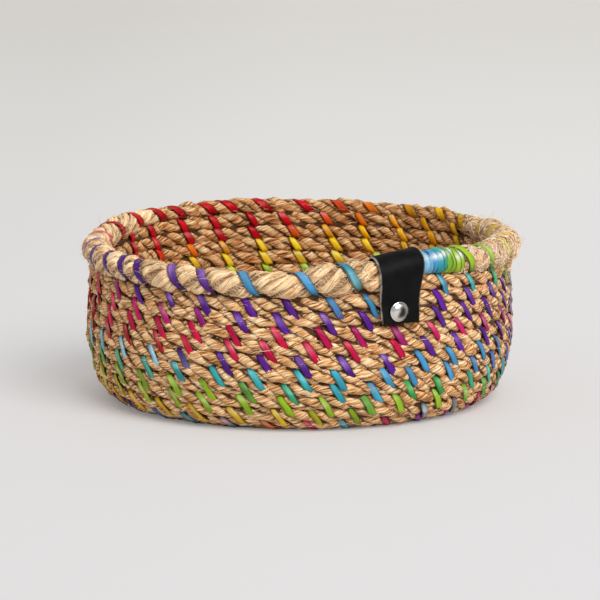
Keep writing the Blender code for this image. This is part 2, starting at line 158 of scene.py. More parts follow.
ROUND_TABLE = np.linspace(0.0, ROUNDS, ROUNDS * TABLE_STEPS + 1)
LENGTH_TABLE = np.concatenate(
    [[0.0], np.cumsum(np.linalg.norm(np.diff(coil(ROUND_TABLE)[0], axis=0), axis=1))]
)


def rounds_at(length):
    """Rounds made after a length of rope."""
    return np.interp(length, LENGTH_TABLE, ROUND_TABLE)


def length_at(rounds):
    """Length of rope after some rounds."""
    return np.interp(rounds, ROUND_TABLE, LENGTH_TABLE)


print(f"rope in the bowl: {LENGTH_TABLE[-1]:.2f} m in {ROUNDS} rounds")

# %% [markdown]
# ## Helpers for surfaces
#
# Everything soft here is a tube: a strand, a lock of fibres, a hair or a flat
# ribbon. Each one is a ring of points carried along a path, so one helper turns a
# numpy grid of rings into a closed mesh. A second helper gives slow, handmade
# unevenness: a few sine waves of unlike lengths, which repeats the same each run.

# %% Unevenness and directions
def wander(length, wavelength, seed):
    """A smooth line between about -1 and 1: a sum of four sines with seeded phases.

    The wavelength is in the unit of length, so in metres along the rope.
    """
    phase = np.random.default_rng(seed).uniform(0.0, TURN, 4)
    stretch = wavelength * np.array([1.0, 0.61, 0.43, 1.7])
    weight = np.array([0.5, 0.3, 0.2, 0.4])
    return np.sum(weight * np.sin(TURN * np.asarray(length)[..., None] / stretch + phase), axis=-1)


def unit(vectors):
    """The same directions with a length of 1."""
    return vectors / np.linalg.norm(vectors, axis=-1, keepdims=True)


def circle(count):
    """Angles of evenly spaced points once round."""
    return np.linspace(0.0, TURN, count, endpoint=False)


def placed(middle, out, onward, sideways, upwards):
    """Points beside a line: its middle, plus sideways times out, plus upwards times onward."""
    return middle + sideways[..., None] * out + upwards[..., None] * onward


def towards(angle, out, onward):
    """Directions at an angle round a line: the cosine goes out and the sine onward."""
    return np.cos(angle)[..., None] * out + np.sin(angle)[..., None] * onward


# %% Tubes from a grid of points
def add_layer(mesh, name, values, shape):
    """Store numbers on the vertices: one, three or four to a vertex."""
    kinds = {1: ("FLOAT", "value"), 3: ("FLOAT_VECTOR", "vector"), 4: ("FLOAT_COLOR", "color")}
    kind, key = kinds[values.shape[-1]]
    filled = np.broadcast_to(values, shape[:-1] + (values.shape[-1],))
    layer = mesh.attributes.new(name, kind, "POINT")
    layer.data.foreach_set(key, np.ascontiguousarray(filled, dtype=np.float32).ravel())


def add_tubes(name, points, material, **layers):
    """Closed tubes in one object. The grid is tubes x stations x points round x 3.

    Each ring joins the next with a band of four-sided faces, and the two end rings
    are closed with one face each. The rings run so that the faces point outwards.
    """
    tubes, stations, around, _ = points.shape
    index = np.arange(tubes * stations * around, dtype=np.int32).reshape(tubes, stations, around)
    near = index[:, :-1]
    far = index[:, 1:]
    bands = np.stack([near, np.roll(near, -1, 2), np.roll(far, -1, 2), far], axis=-1)
    caps = np.stack([index[:, 0, ::-1], index[:, -1]], axis=1)
    corners = np.concatenate([bands.ravel(), caps.ravel()])
    band_starts = np.arange(bands.size // 4) * 4
    cap_starts = bands.size + np.arange(2 * tubes) * around
    mesh = bpy.data.meshes.new(name)
    mesh.vertices.add(index.size)
    mesh.vertices.foreach_set("co", points.astype(np.float32).ravel())
    mesh.loops.add(len(corners))
    mesh.loops.foreach_set("vertex_index", corners)
    mesh.polygons.add(len(band_starts) + len(cap_starts))
    face_starts = np.concatenate([band_starts, cap_starts]).astype(np.int32)
    mesh.polygons.foreach_set("loop_start", face_starts)
    mesh.update(calc_edges=True)
    mesh.shade_smooth()
    for layer, values in layers.items():
        add_layer(mesh, layer, values, points.shape)
    mesh.materials.append(material)
    piece = bpy.data.objects.new(name, mesh)
    bpy.context.scene.collection.objects.link(piece)
    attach(piece, "root")
    return piece


def triangles(piece):
    """How many triangles the piece's faces make."""
    return sum(len(face.vertices) - 2 for face in piece.data.polygons)


# %% [markdown]
# ## Materials
#
# Sisal is a pale, hard leaf fibre. Up close it is streaks: each strand is a bundle
# of fine hairs, some straw-white and some brown, and the grooves between strands
# hold shadow and dust. The rope meshes paint a dark groove colour there, part dust
# and part painted shade, and paint the inside of the wall browner as shade. The
# streaks have to follow the strand as it twists, so each rope mesh carries its own
# coordinates: a circle round the strand, which turns with the fibres, and the length
# along it. Noise that is stretched along the length gives the streaks. A picture of
# rope would repeat and blur, and this never does.

# %% Material helpers
def rgb(red, green, blue):
    """A colour written as it looks on screen, 0 to 255, turned into light values."""
    share = np.array([red, green, blue]) / 255.0
    linear = np.where(share <= 0.04045, share / 12.92, ((share + 0.055) / 1.055) ** 2.4)
    return (*(float(value) for value in linear), 1.0)


def grey(value):
    """A grey of light values, which darkens or brightens what it multiplies."""
    return (value, value, value, 1.0)


def new_material(name, **sockets):
    """A Principled material with constants set on its own sockets."""
    material = bpy.data.materials.new(name)
    material.use_nodes = True
    shader = material.node_tree.nodes["Principled BSDF"]
    for socket, value in sockets.items():
        shader.inputs[socket.replace("_", " ")].default_value = value
    return material, material.node_tree, shader


def feed(tree, socket, value):
    """Link another node's output into a socket, or set the socket to a constant."""
    if isinstance(value, bpy.types.NodeSocket):
        tree.links.new(value, socket)
    else:
        socket.default_value = value


def add_node(tree, kind, settings=None, **inputs):
    """Add a node, set its options, and feed its inputs by name, or as in0, in1 by number."""
    node = tree.nodes.new(kind)
    for key, value in (settings or {}).items():
        setattr(node, key, value)
    for key, value in inputs.items():
        place = int(key[2:]) if key.startswith("in") else key.replace("_", " ")
        feed(tree, node.inputs[place], value)
    return node


def stored(tree, layer, output="Fac"):
    """Read a layer of numbers that the mesh carries on its vertices."""
    return add_node(tree, "ShaderNodeAttribute", {"attribute_name": layer}).outputs[output]


def ramp(tree, factor, *stops):
    """A colour ramp with stops of place and colour."""
    node = add_node(tree, "ShaderNodeValToRGB", Fac=factor)
    elements = node.color_ramp.elements
    while len(elements) < len(stops):
        elements.new(0.5)
    for element, (place, color) in zip(elements, stops):
        element.position = place
        element.color = color
    return node.outputs["Color"]


def mixed(tree, factor, first, second, blend="MIX"):
    """Two colours mixed by a factor. The node's inputs 0, 6 and 7 are the colour ones."""
    node = add_node(
        tree, "ShaderNodeMix", {"data_type": "RGBA", "blend_type": blend}, in0=factor, in6=first, in7=second
    )
    return node.outputs[2]


def tinted(tree, first, second):
    """One colour multiplied by another."""
    return mixed(tree, 1.0, first, second, "MULTIPLY")


def calculated(tree, operation, first, second):
    """The sum or product of two numbers."""
    node = add_node(tree, "ShaderNodeMath", {"operation": operation}, in0=first, in1=second)
    return node.outputs["Value"]


def ranged(tree, value, low, high, to_low, to_high):
    """A number carried from one range to another."""
    limits = {"From_Min": low, "From_Max": high, "To_Min": to_low, "To_Max": to_high}
    return add_node(tree, "ShaderNodeMapRange", Value=value, **limits).outputs["Result"]


def bumped(tree, height, strength, depth, **below):
    """A bump whose depth is in metres, on top of another where Normal gives one."""
    bump = add_node(tree, "ShaderNodeBump", Height=height, Strength=strength, Distance=depth, **below)
    return bump.outputs["Normal"]


def finish_surface(tree, shader, color, normal):
    """Give the shader its colour and its bump."""
    tree.links.new(color, shader.inputs["Base Color"])
    tree.links.new(normal, shader.inputs["Normal"])


# %% Sisal materials
# Painted shade and warm bounced light: the inside of the wall is tinted browner.
INSIDE_SHADE_TINT = (0.93, 0.86, 0.78, 1.0)
LOCK_SHADES = ((0.66, 0.58, 0.5, 1.0), (0.98, 0.97, 0.96, 1.0), grey(1.1))


def sisal(name, dark, middle, pale, groove, bias=0.0):
    """Fibre streaks along the strand, toned by the lock, with painted shade: browner inside, dark in
    grooves.

    A positive bias makes more of the surface pale.
    """
    material, tree, shader = new_material(name, Roughness=0.82, Specular_IOR_Level=0.15)
    fibre = stored(tree, "fibre", "Vector")
    # The groove layer says how much painted shade, in the groove colour, a place takes.
    depth = stored(tree, "groove")
    fine = add_node(tree, "ShaderNodeTexNoise", Vector=fibre, Scale=1.05, Detail=4.0, Roughness=0.6)
    locks = add_node(tree, "ShaderNodeTexNoise", Vector=fibre, Scale=0.42, Detail=1.5)
    places = [place - bias for place in (0.29, 0.38, 0.49, 0.63)]
    streaky = ramp(tree, fine.outputs["Fac"], *zip(places, (groove, dark, middle, pale)))
    tone = ramp(tree, locks.outputs["Fac"], *zip((0.32 - bias, 0.5 - bias, 0.7 - bias), LOCK_SHADES))
    toned = tinted(tree, streaky, tone)
    # Painted shade: the inside of the wall is tinted browner, and grooves take the groove colour.
    inside_shaded = mixed(tree, stored(tree, "inner"), toned, tinted(tree, toned, INSIDE_SHADE_TINT))
    color = mixed(tree, depth, inside_shaded, groove)
    lines = calculated(tree, "ADD", fine.outputs["Fac"], locks.outputs["Fac"])
    finish_surface(tree, shader, color, bumped(tree, lines, 0.9, 0.8 * MM))
    return material


# The last colour is the groove colour: the darkest streaks, and the painted shade in grooves.
rope_sisal = sisal(
    "rope_sisal", rgb(150, 91, 46), rgb(232, 173, 112), rgb(255, 238, 198), rgb(56, 29, 12)
)
soft_sisal = sisal(
    "soft_sisal", rgb(184, 122, 72), rgb(250, 198, 142), rgb(255, 234, 192), rgb(84, 44, 20), bias=0.06
)


# %% Loose fibre materials
def fibre_material(name, *colors):
    """A single loose fibre: every fibre has its own tone between dark and pale."""
    material, tree, shader = new_material(name, Roughness=0.6)
    color = ramp(tree, stored(tree, "tone"), *zip((0.0, 0.5, 1.0), colors))
    tree.links.new(color, shader.inputs["Base Color"])
    return material


hair_sisal = fibre_material("hair_sisal", rgb(172, 122, 78), rgb(244, 202, 154), rgb(255, 240, 210))
frayed_sisal = fibre_material("frayed_sisal", rgb(206, 156, 110), rgb(255, 222, 180), rgb(255, 244, 224))
print("materials:", ", ".join(sorted(material.name for material in bpy.data.materials)))

# %% [markdown]
# ## The rope: three twisted strands
#
# The rope's look comes from its lay. Three strands wind round one another, once in
# 27 mm, so the outside shows slanting plump bumps with a deep groove between them,
# and the fibres inside a bump run nearly straight along the rope because each
# strand is twisted the other way. A bump texture on a plain tube looks flat at the
# rim of the bowl, where the bumps stand out against the light, so the strands are
# real geometry. Each is a ring carried round a helix, with low ridges for fibres.

# %% Where the stitches are, because they press the rope
STITCHES_PER_ROUND = 32
OUTSIDE_SLOPE = 0.6
INSIDE_SLOPE = 0.6
rim_low = length_at(RIM_START)
rim_high = length_at(RIM_END)
STITCH_SPACING = (length_at(RIM_START + 1) - rim_low) / STITCHES_PER_ROUND
FEWEST_STITCHES = 5
ROW_SHIFT = 0.15
UNEVEN_SHARE = 0.1
BACK_LOW = 0.37
BACK_HIGH = 0.745
BACK_MARGIN = 0.03


def stitch_places(row):
    """Lengths along the rope of one round's stitches, and their spacing.

    Each round's stitches are shifted a share of a space from those of the round below.
    """
    picks = np.random.default_rng(100 + row)
    low, high = length_at(row), length_at(row + 1)
    count = max(FEWEST_STITCHES, round((high - low) / STITCH_SPACING))
    spacing = (high - low) / count
    first = low - ROW_SHIFT * spacing * (row - RIM_START)
    uneven = picks.uniform(-UNEVEN_SHARE, UNEVEN_SHARE, count)
    places = first + spacing * (np.arange(count) + 0.5 + uneven)
    return np.sort(low + np.mod(places - low, high - low)), spacing


def back_places():
    """Stitches of the short plain round that lies under the rim at the back."""
    places, spacing = stitch_places(RIM_START)
    share = rounds_at(places) - RIM_START
    return places[(share > BACK_LOW - BACK_MARGIN) & (share < BACK_HIGH + BACK_MARGIN)], spacing


all_places = [stitch_places(row) for row in range(1, RIM_START)] + [back_places()]
OUTSIDE_PLACES = np.concatenate([places for places, spacing in all_places])
INSIDE_PLACES = np.sort(np.concatenate([places + spacing / 2 for places, spacing in all_places]))
print("stitches on the wall and floor:", len(OUTSIDE_PLACES))


# %% Rope strands
LAY_LENGTH = 27.0 * MM
STRANDS = 3
STRAND_OFFSET = 1.5 * MM
STRAND_RADIUS = 1.78 * MM
FIBRE_TWIST = 1.7
GRIP = 0.34
PRESS_WIDTH = 2.4 * MM
ROPE_ROUND = 3.2 * MM
ROPE_FLAT = 0.9
ROPE_TALL = 1.14
STREAK_WIDTH = 0.75 * MM
STREAK_LENGTH = 7.0 * MM
STRAND_STREAKS_APART = 17.0
STRANDS_APART = 0.37
# How dark the painted shade is where the strands meet inside the rope.
PAINTED_GROOVE_SHADE = 0.9


def grip(length, side, rise):
    """How tightly the nearest stitch presses the rope, and how much shade to paint beside the next round.

    The press is a bell curve over the distance from the nearest stitch. The stitches lean
    one way outside and the other way inside, and the eye, before the first one, is free.
    """
    number = np.arange(len(OUTSIDE_PLACES))
    held = 0.0
    sides = ((OUTSIDE_PLACES, OUTSIDE_SLOPE, side), (INSIDE_PLACES, -INSIDE_SLOPE, -side))
    for places, slope, turned_here in sides:
        nearest = np.interp(length - slope * rise, places, number, left=0.5)
        away = np.abs(nearest - np.round(nearest)) * STITCH_SPACING
        held = held + np.exp(-((away / PRESS_WIDTH) ** 2)) * smooth(turned_here, -0.3 * MM, 1.2 * MM)
    # Painted shade where this round lies against the rounds above and below, deeper beside a stitch.
    between = smooth(np.abs(rise), 2.4 * MM, 3.3 * MM)
    return held, (0.3 + 0.45 * np.clip(held, 0.0, 1.0)) * between


def streaks(size, turned, length):
    """Where a point lies in the fibre pattern: a circle round the strand and the way along it."""
    return np.stack(
        np.broadcast_arrays(size * np.cos(turned), size * np.sin(turned), length / STREAK_LENGTH), axis=-1
    )


# %% Rings of the three strands
def rope_rings(length, around, frame_at, hold):
    """Rings of the three strands: the strand's offset turns with the lay.

    A point is the rope's middle, plus the strand's offset, plus the strand's radius
    times a ridge pattern that turns against the lay. Fluff fills the hollows between
    the strands, stitches press the rope flatter, and slow waves sway it. Each strand
    reads its unevenness at a place of its own, so that no two are alike.
    """
    middle, _, out, onward = frame_at(length)
    strand = np.arange(STRANDS)[:, None]
    own = length + STRANDS_APART * strand
    lay = TURN * length / LAY_LENGTH + 0.55 * wander(length, 0.083, 3) + strand * TURN / STRANDS
    lay = lay + 0.28 * wander(own, 0.017, 14)
    offset = STRAND_OFFSET * (1 + 0.18 * wander(own, 0.019, 4))
    radius = STRAND_RADIUS * (1 + 0.15 * wander(own, 0.011, 5))
    angle = circle(around)
    turned = angle + FIBRE_TWIST * lay[..., None]
    ridges = 0.1 * np.sin(4 * turned + 2.2 * wander(own, 0.018, 6)[..., None])
    ridges = ridges + 0.07 * np.sin(7 * turned + 3.0 * wander(own, 0.014, 7)[..., None])
    ring = radius[..., None] * (1 + ridges)
    side = offset[..., None] * np.cos(lay)[..., None] + ring * np.cos(angle)
    rise = offset[..., None] * np.sin(lay)[..., None] + ring * np.sin(angle)
    from_middle = np.hypot(side, rise)
    fluff = (0.42 + 0.2 * wander(length, 0.033, 15)[:, None]) * smooth(from_middle, 1.4 * MM, 2.4 * MM)
    filled = 1 + fluff * np.clip(ROPE_ROUND - from_middle, 0.0, None) / np.maximum(from_middle, MM)
    side = side * filled
    rise = rise * filled
    # Painted shade in the groove layer, dark where the strands meet inside the rope.
    groove = PAINTED_GROOVE_SHADE * (1 - smooth(from_middle, 1.8 * MM, 2.7 * MM))
    held, between = hold(length[:, None], side, rise)
    side = ROPE_FLAT * side * (1 - GRIP * held)
    rise = rise * (ROPE_TALL + 0.07 * wander(length, 0.02, 16)[:, None] - 0.3 * np.clip(held, 0.0, 1.0))
    # More painted shade between the rounds, and beside the stitches as their painted shadow.
    groove = np.maximum(groove, np.maximum(between, 0.6 * held))
    sway_out = 0.35 * MM * wander(length, 0.07, 8)
    sway_on = 0.4 * MM * wander(length, 0.045, 9)
    side_places = side + sway_out[:, None]
    rise_places = rise + sway_on[:, None]
    points = placed(middle[:, None], out[:, None], onward[:, None], side_places, rise_places)
    fibre = streaks(STRAND_RADIUS / STREAK_WIDTH, turned, own[..., None])
    fibre = fibre + strand[..., None, None] * STRAND_STREAKS_APART
    # Where the inside of the wall is painted browner, as shade and warm bounced light.
    inner = smooth(-side, -0.5 * MM, 1.5 * MM) * smooth(rounds_at(length), 13.0, 15.0)[:, None]
    return points, {"fibre": fibre, "groove": groove[..., None], "inner": inner[..., None]}


def on_ground(points):
    """Nothing sinks under the surface that the bowl stands on: the rope is pressed flat there."""
    points[..., 2] = np.maximum(points[..., 2], 0.05 * MM)
    return points


def coil_at(length):
    """The coil's middle and directions at lengths along the rope."""
    return coil(rounds_at(length))


# %% One stretch of rope and its heart
OVERLAP = 0.6 * MM
HEART_STEP = 3.5 * MM
HEART_POINTS = 8
HEART_HALF_WIDTH = 1.75 * MM
HEART_DOWN = 3.5 * MM
# How much of the groove colour is painted on the heart as shade.
HEART_SHADE = 0.93


def rope_piece(name, start, end, step, around, nodes, frame_at=coil_at):
    """One stretch of the rope between two numbers of rounds."""
    low = length_at(start) - (OVERLAP if start else 0.0)
    high = length_at(end) + OVERLAP
    length = np.linspace(low, high, int((high - low) / step) + 2)
    points, layers = rope_rings(length, around, frame_at, grip)
    piece = add_tubes(name, on_ground(points), rope_sisal, **layers)
    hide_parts(*nodes)
    return piece


def rope_heart(name, start, end, frame_at=coil_at):
    """The squeezed inside of the rope: a plain tube painted dark as shade, which closes the gaps between
    rounds.

    Under the rim it reaches higher, where the ribbon pinches the soft bundle, and beside
    the label too, where the next round is lifted.
    """
    length = np.arange(length_at(start), length_at(end), HEART_STEP)
    middle, _, out, onward = frame_at(length)
    ring = circle(HEART_POINTS)
    top_rounds = (RIM_START - 1.1, RIM_START - 1, RIM_END - 1, RIM_START)
    rounds = rounds_at(length)
    lifted = np.clip(label_lift(rounds + 1) - label_lift(rounds), 0.0, None)
    reach_up = 1.2 * lifted + MM * np.interp(rounds, top_rounds, (3.7, 6.3, 6.3, 4.0))
    reach_on = np.where(np.sin(ring) > 0, reach_up[:, None], HEART_DOWN) * np.sin(ring)
    reach_out = HEART_HALF_WIDTH * np.cos(ring)
    points = placed(middle[:, None], out[:, None], onward[:, None], reach_out, reach_on)
    fibre = streaks(4, ring, length[:, None])
    # Painted shade: the whole heart takes almost the full groove colour.
    dark = np.full((1, 1, 1, 1), HEART_SHADE)
    piece = add_tubes(name, on_ground(points[None]), rope_sisal, fibre=fibre[None], groove=dark)
    return piece


# %% Lay the rope
FLOOR_ROUNDS = 12
CORNER_ROUNDS = 15
LOWER_WALL_ROUNDS = 19
HEART_START = 1.7
FLOOR_STEP = 1.5 * MM
FLOOR_POINTS = 12
WALL_STEP = 0.95 * MM
WALL_POINTS = 18
rope_pieces = [rope_piece("rope_floor", 0, FLOOR_ROUNDS, FLOOR_STEP, FLOOR_POINTS, ["rope_base"])]
rope_pieces.append(rope_heart("rope_heart", HEART_START, RIM_END - 1))
for row in range(FLOOR_ROUNDS, RIM_START):
    wall_node = "rope_wall_lower" if row < LOWER_WALL_ROUNDS else "rope_wall_upper"
    node = "rope_corner" if row < CORNER_ROUNDS else wall_node
    name = f"rope_row_{row - FLOOR_ROUNDS + 1:02d}"
    rope_pieces.append(rope_piece(name, row, row + 1, WALL_STEP, WALL_POINTS, [node]))
print("rope:", sum(triangles(piece) for piece in rope_pieces), "triangles")

# %% [markdown]
# ## The rim: a soft bundle
#
# The last round is rope that was hardly twisted. At the front, left and right it is
# a thick, soft bundle that the ribbon pinches into pillows, and at the back it is
# plain rope again. A single smooth tube looks like clay. Here a core painted dark as
# shade is covered with twenty locks: tubes that wander over it, dive under one another
# and are pinched by the same helix that the ribbon follows. The locks' flanks are
# painted darker as shade, and so is the underside of the rim's own rope.

# %% The rim's middle, its swelling and the ribbon's helix round it
RIM_THIN = 6.0 * MM
RIM_THICK = 11.6 * MM
RIM_STOPS = (0.0, 0.018, 0.034, 0.085, 0.36, 0.48, 0.715, 0.765, 0.84, 0.965, 0.986)
RIM_SWELLS = (1.0, 1.25, 1.7, 1.0, 1.0, 0.0, 0.0, 0.85, 1.0, 1.0, 0.5)
BACK_LIFTS = (
    (0.36, 0.0), (0.405, 4.3), (0.437, 5.3), (0.495, 6.6), (0.524, 6.9), (0.551, 6.0), (0.604, 5.3),
    (0.641, 4.7), (0.671, 4.8), (0.7, 5.2), (0.719, 3.4), (0.735, 1.2), (0.75, 0.0), (0.775, -1.2),
    (0.82, -0.8), (0.86, 0.0),
)
LIFT_STOPS, LIFTS = zip(*BACK_LIFTS)
BINDING_SHARE = 0.947
ROPE_HALF = 2.65 * MM
RIM_GAP = PITCH - 2 * ROPE_HALF
RIM_STRANDS = 3
RIM_LAY_LENGTH = 60.0 * MM
RIM_WIDE = 1.08
RIM_HIGH = 1.06
PINCH_DEPTH = 0.33
BOUND_DEPTH = 0.27
RIBBON_HALF_GRIP = 1.5 * MM
RIBBON_GRIP_EDGE = 1.9 * MM
SEEN_STITCHES = (
    -0.03, 0.0005, 0.0355, 0.0675, 0.1103, 0.1442, 0.1693, 0.205, 0.2245, 0.247,
    0.275, 0.302, 0.338, 0.37, 0.4025, 0.431, 0.452, 0.481, 0.5, 0.529,
)
FURTHER_STITCHES = 17
uneven = np.random.default_rng(41).uniform(-0.12, 0.12, FURTHER_STITCHES)
further = SEEN_STITCHES[-1] + (np.arange(1, FURTHER_STITCHES + 1) + uneven) / STITCHES_PER_ROUND
rim_shares = np.append(SEEN_STITCHES, further)
RIM_STITCHES = length_at(RIM_START) + rim_shares * STITCHES_PER_ROUND * STITCH_SPACING
print("turns of ribbon over the rim:", len(RIM_STITCHES))


def swell_at(length):
    """How far the rim is swollen: 0 is plain rope, 1 the soft bundle, and more beside the strap."""
    return np.interp(rounds_at(length) - RIM_START, RIM_STOPS, RIM_SWELLS)


def rim_half(length):
    """Half the rim's height, from plain rope to the soft bundle."""
    return (RIM_THIN + swell_at(length) * (RIM_THICK - RIM_THIN)) / 2


def rim_at(length):
    """Middle of the rim, above the round below it, and its directions.

    At the back a plain round lies under the thin rim and lifts it, so it stays level.
    """
    rounds = rounds_at(length)
    middle = coil(rounds - 1)[0].copy()
    standing = ROPE_HALF + 0.5 * RIM_GAP + rim_half(length)
    middle[..., 2] += standing + label_lift(rounds) - label_lift(rounds - 1)
    middle[..., 2] += MM * np.interp(rounds - RIM_START, LIFT_STOPS, LIFTS)
    angle = LABEL_ANGLE - TURN * rounds
    return (middle, *directions(angle, np.full_like(angle, math.pi / 2)))


def pinch(length, angle):
    """How near a place on the rim is to the ribbon's helix: 1 under it, 0 away from it."""
    turn_share = np.mod(angle / TURN + 0.25, 1.0) - 0.25
    place = length - STITCH_SPACING * turn_share
    number = np.interp(place, RIM_STITCHES, np.arange(len(RIM_STITCHES)))
    away = np.abs(number - np.round(number)) * STITCH_SPACING
    free = 1 - smooth(rounds_at(length) - RIM_START, BINDING_SHARE - 0.01, BINDING_SHARE)
    beside = np.clip(away - RIBBON_HALF_GRIP, 0.0, None)
    return np.exp(-((beside / RIBBON_GRIP_EDGE) ** 2)) * free


def rim_radii(length, angle):
    """The soft bundle's reach sideways and upwards at an angle, pinched by the ribbon."""
    share = rounds_at(length) - RIM_START
    bound = BOUND_DEPTH * smooth(share, BINDING_SHARE - 0.012, BINDING_SHARE + 0.004)
    rise = rim_half(length)
    squeeze = 1 - PINCH_DEPTH * np.clip(swell_at(length), 0.0, 1.0) * pinch(length, angle) - bound
    uneven = 0.98 + 0.06 * wander(length, 0.041, 21) + 0.04 * wander(length, 0.019, 23)
    uneven = uneven + 0.08 * wander(length + 0.003 * np.sin(angle), 0.012, 26) * smooth(share, 0.73, 0.78)
    return RIM_WIDE * rise * squeeze * uneven, RIM_HIGH * rise * squeeze * uneven


def rim_relief(length, angle):
    """Height of the bundle's three loose strands, 0 in a groove and 1 on a crest."""
    lay = TURN * length / RIM_LAY_LENGTH + 0.6 * wander(length, 0.05, 24)
    return np.abs(np.cos(RIM_STRANDS / 2 * (angle - lay))) ** 0.6


# %% Core of the bundle
LOCK_TWIST = -TURN / 44.0 / MM
CORE_STATIONS = 900
CORE_POINTS = 48
CORE_STREAKS = 6.0 * MM / STREAK_WIDTH


def rim_core():
    """The bundle's inside: a tube painted dark as shade, with the relief of the loose strands."""
    length = np.linspace(rim_low, rim_high, CORE_STATIONS)
    angle = circle(CORE_POINTS)
    side, rise = rim_radii(length[:, None], angle[None])
    relief = 0.66 + 0.12 * rim_relief(length[:, None], angle[None])
    relief = relief * (0.55 + 0.45 * smooth(swell_at(length), 0.0, 0.5)[:, None])
    middle, _, out, up = rim_at(length)
    swirl = 0.35 * wander(length[:, None] + 0.006 * np.sin(2 * angle), 0.02, 27)
    turned = angle + LOCK_TWIST * length[:, None] + swirl
    reach_out = relief * side * np.cos(angle)
    reach_up = relief * rise * np.sin(angle)
    points = placed(middle[:, None], out[:, None], up[:, None], reach_out, reach_up)
    fibre = streaks(CORE_STREAKS, turned, length[:, None])[None]
    # Painted shade: the core is dark, a little less on the strands' crests.
    groove = (0.8 - 0.3 * rim_relief(length[:, None], angle[None]))[None, ..., None]
    piece = add_tubes("rim_core", points[None], soft_sisal, fibre=fibre, groove=groove)
    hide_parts("rope_rim")
    return piece


# %% Locks of fibre
LOCKS = 20
LOCK_POINTS = 14
LOCK_STEP = 1.25 * MM
LOCK_SIZE = 1.4
LOCK_STREAKS = 1.5 * MM / STREAK_WIDTH
LOCK_STREAKS_APART = 5.0


def rim_locks(name, first, count):
    """Locks of fibre: tubes that ride on the loose strands and drift against their twist.

    Each one winds round the bundle, drifts from side to side, dives under its
    neighbours, swells and thins, and is pinched flat where the ribbon crosses it.
    """
    seeds = np.random.default_rng(50 + first)
    length = np.linspace(rim_low, rim_high, int((rim_high - rim_low) / LOCK_STEP))
    number = first + np.arange(count)
    start = TURN * number / LOCKS * 5 + seeds.uniform(-0.3, 0.3, count)
    drift = np.stack([wander(length, 0.042, 60 + one) for one in number])
    drift = drift + 0.1 * np.stack([wander(length, 0.015, 400 + one) for one in number])
    dive = np.stack([wander(length, 0.021, 160 + one) for one in number])
    girth = np.stack([wander(length, 0.03, 260 + one) for one in number])
    angle = start[:, None] + LOCK_TWIST * length + 0.45 * drift
    side, rise = rim_radii(length, angle)
    swell = smooth(swell_at(length), 0.02, 0.6)
    lying = (0.65 + 0.1 * rim_relief(length, angle) + 0.08 * dive) * (0.55 + 0.45 * swell)
    lying = lying * (1 - 0.1 * smooth(rounds_at(length) - RIM_START, 0.735, 0.775))
    middle, _, out, up = rim_at(length)
    lock_side = lying * side * np.cos(angle)
    lock_rise = lying * rise * np.sin(angle)
    fat = seeds.uniform(0.8, 1.35, (count, 1))
    wide = (LOCK_SIZE * fat + 0.3 * girth) * MM * (0.4 + 0.6 * swell)
    high = (LOCK_SIZE * fat**0.5 + 0.25 * girth) * MM * (0.4 + 0.6 * swell)
    high = high * (1 - 0.65 * pinch(length, angle))
    ring = circle(LOCK_POINTS)
    turned = ring + 120.0 * length[:, None] + number[:, None, None]
    ridges = 1 + 0.12 * np.sin(3 * turned) + 0.06 * np.sin(5 * turned)
    away = high[..., None] * ridges * np.cos(ring)
    across = wide[..., None] * ridges * np.sin(ring)
    cosine = np.cos(angle)[..., None]
    sine = np.sin(angle)[..., None]
    section_side = lock_side[..., None] + away * cosine - across * sine
    section_rise = lock_rise[..., None] + away * sine + across * cosine
    points = placed(middle[:, None], out[:, None], up[:, None], section_side, section_rise)
    fibre = streaks(LOCK_STREAKS, turned, length[:, None])
    fibre = fibre + number[:, None, None, None] * LOCK_STREAKS_APART
    # Painted shade on each lock's flanks and underside, where it lies against its neighbours and the core.
    painted_flank_shade = np.clip(1.0 - 0.25 * dive[..., None] - 1.2 * np.cos(ring), 0.0, 0.92)
    piece = add_tubes(name, points, soft_sisal, fibre=fibre, groove=painted_flank_shade[..., None])
    return piece


# %% Plain rope at the back, and the whole rim
HEART_BACK_LOW = 0.4
HEART_BACK_HIGH = 0.72
BACK_ENDS_RISE = 3.5 * MM


def rim_grip(length, side, rise):
    """The same as grip, for the helix of ribbon round the rim, with shade painted under the rim."""
    # Painted shade on the underside of the rim's rope, where it lies on the round below.
    return pinch(length, np.arctan2(rise, side)), 0.75 * smooth(-rise, 2.3 * MM, 3.2 * MM)


def rim_rope():
    """The rim's own three strands, which show at the back, where the bundle is thin."""
    length = np.linspace(rim_low, rim_high, int((rim_high - rim_low) / WALL_STEP))
    points, layers = rope_rings(length, WALL_POINTS, rim_at, rim_grip)
    piece = add_tubes("rim_rope", points, rope_sisal, **layers)
    return piece


def back_at(length):
    """The short round under the rim at the back: its two ends rise into the soft bundle."""
    middle, along, out, onward = coil_at(length)
    share = rounds_at(length) - RIM_START
    inside = smooth(share, BACK_LOW, BACK_LOW + 0.06) * (1 - smooth(share, BACK_HIGH - 0.05, BACK_HIGH))
    middle[..., 2] += BACK_ENDS_RISE * (1 - inside)
    return middle, along, out, onward


rim_pieces = [rim_core(), rim_rope()]
heart_ends = (RIM_START + HEART_BACK_LOW, RIM_START + HEART_BACK_HIGH)
rim_pieces.append(rope_heart("back_heart", *heart_ends, back_at))
back_ends = (RIM_START + BACK_LOW, RIM_START + BACK_HIGH)
rim_pieces.append(
    rope_piece("rope_back_round", *back_ends, WALL_STEP, WALL_POINTS, ["rope_rim"], back_at)
)
half_locks = LOCKS // 2
rim_pieces.append(rim_locks("rim_locks_01", 0, half_locks))
rim_pieces.append(rim_locks("rim_locks_02", half_locks, half_locks))
print("rim:", sum(triangles(piece) for piece in rim_pieces), "triangles")
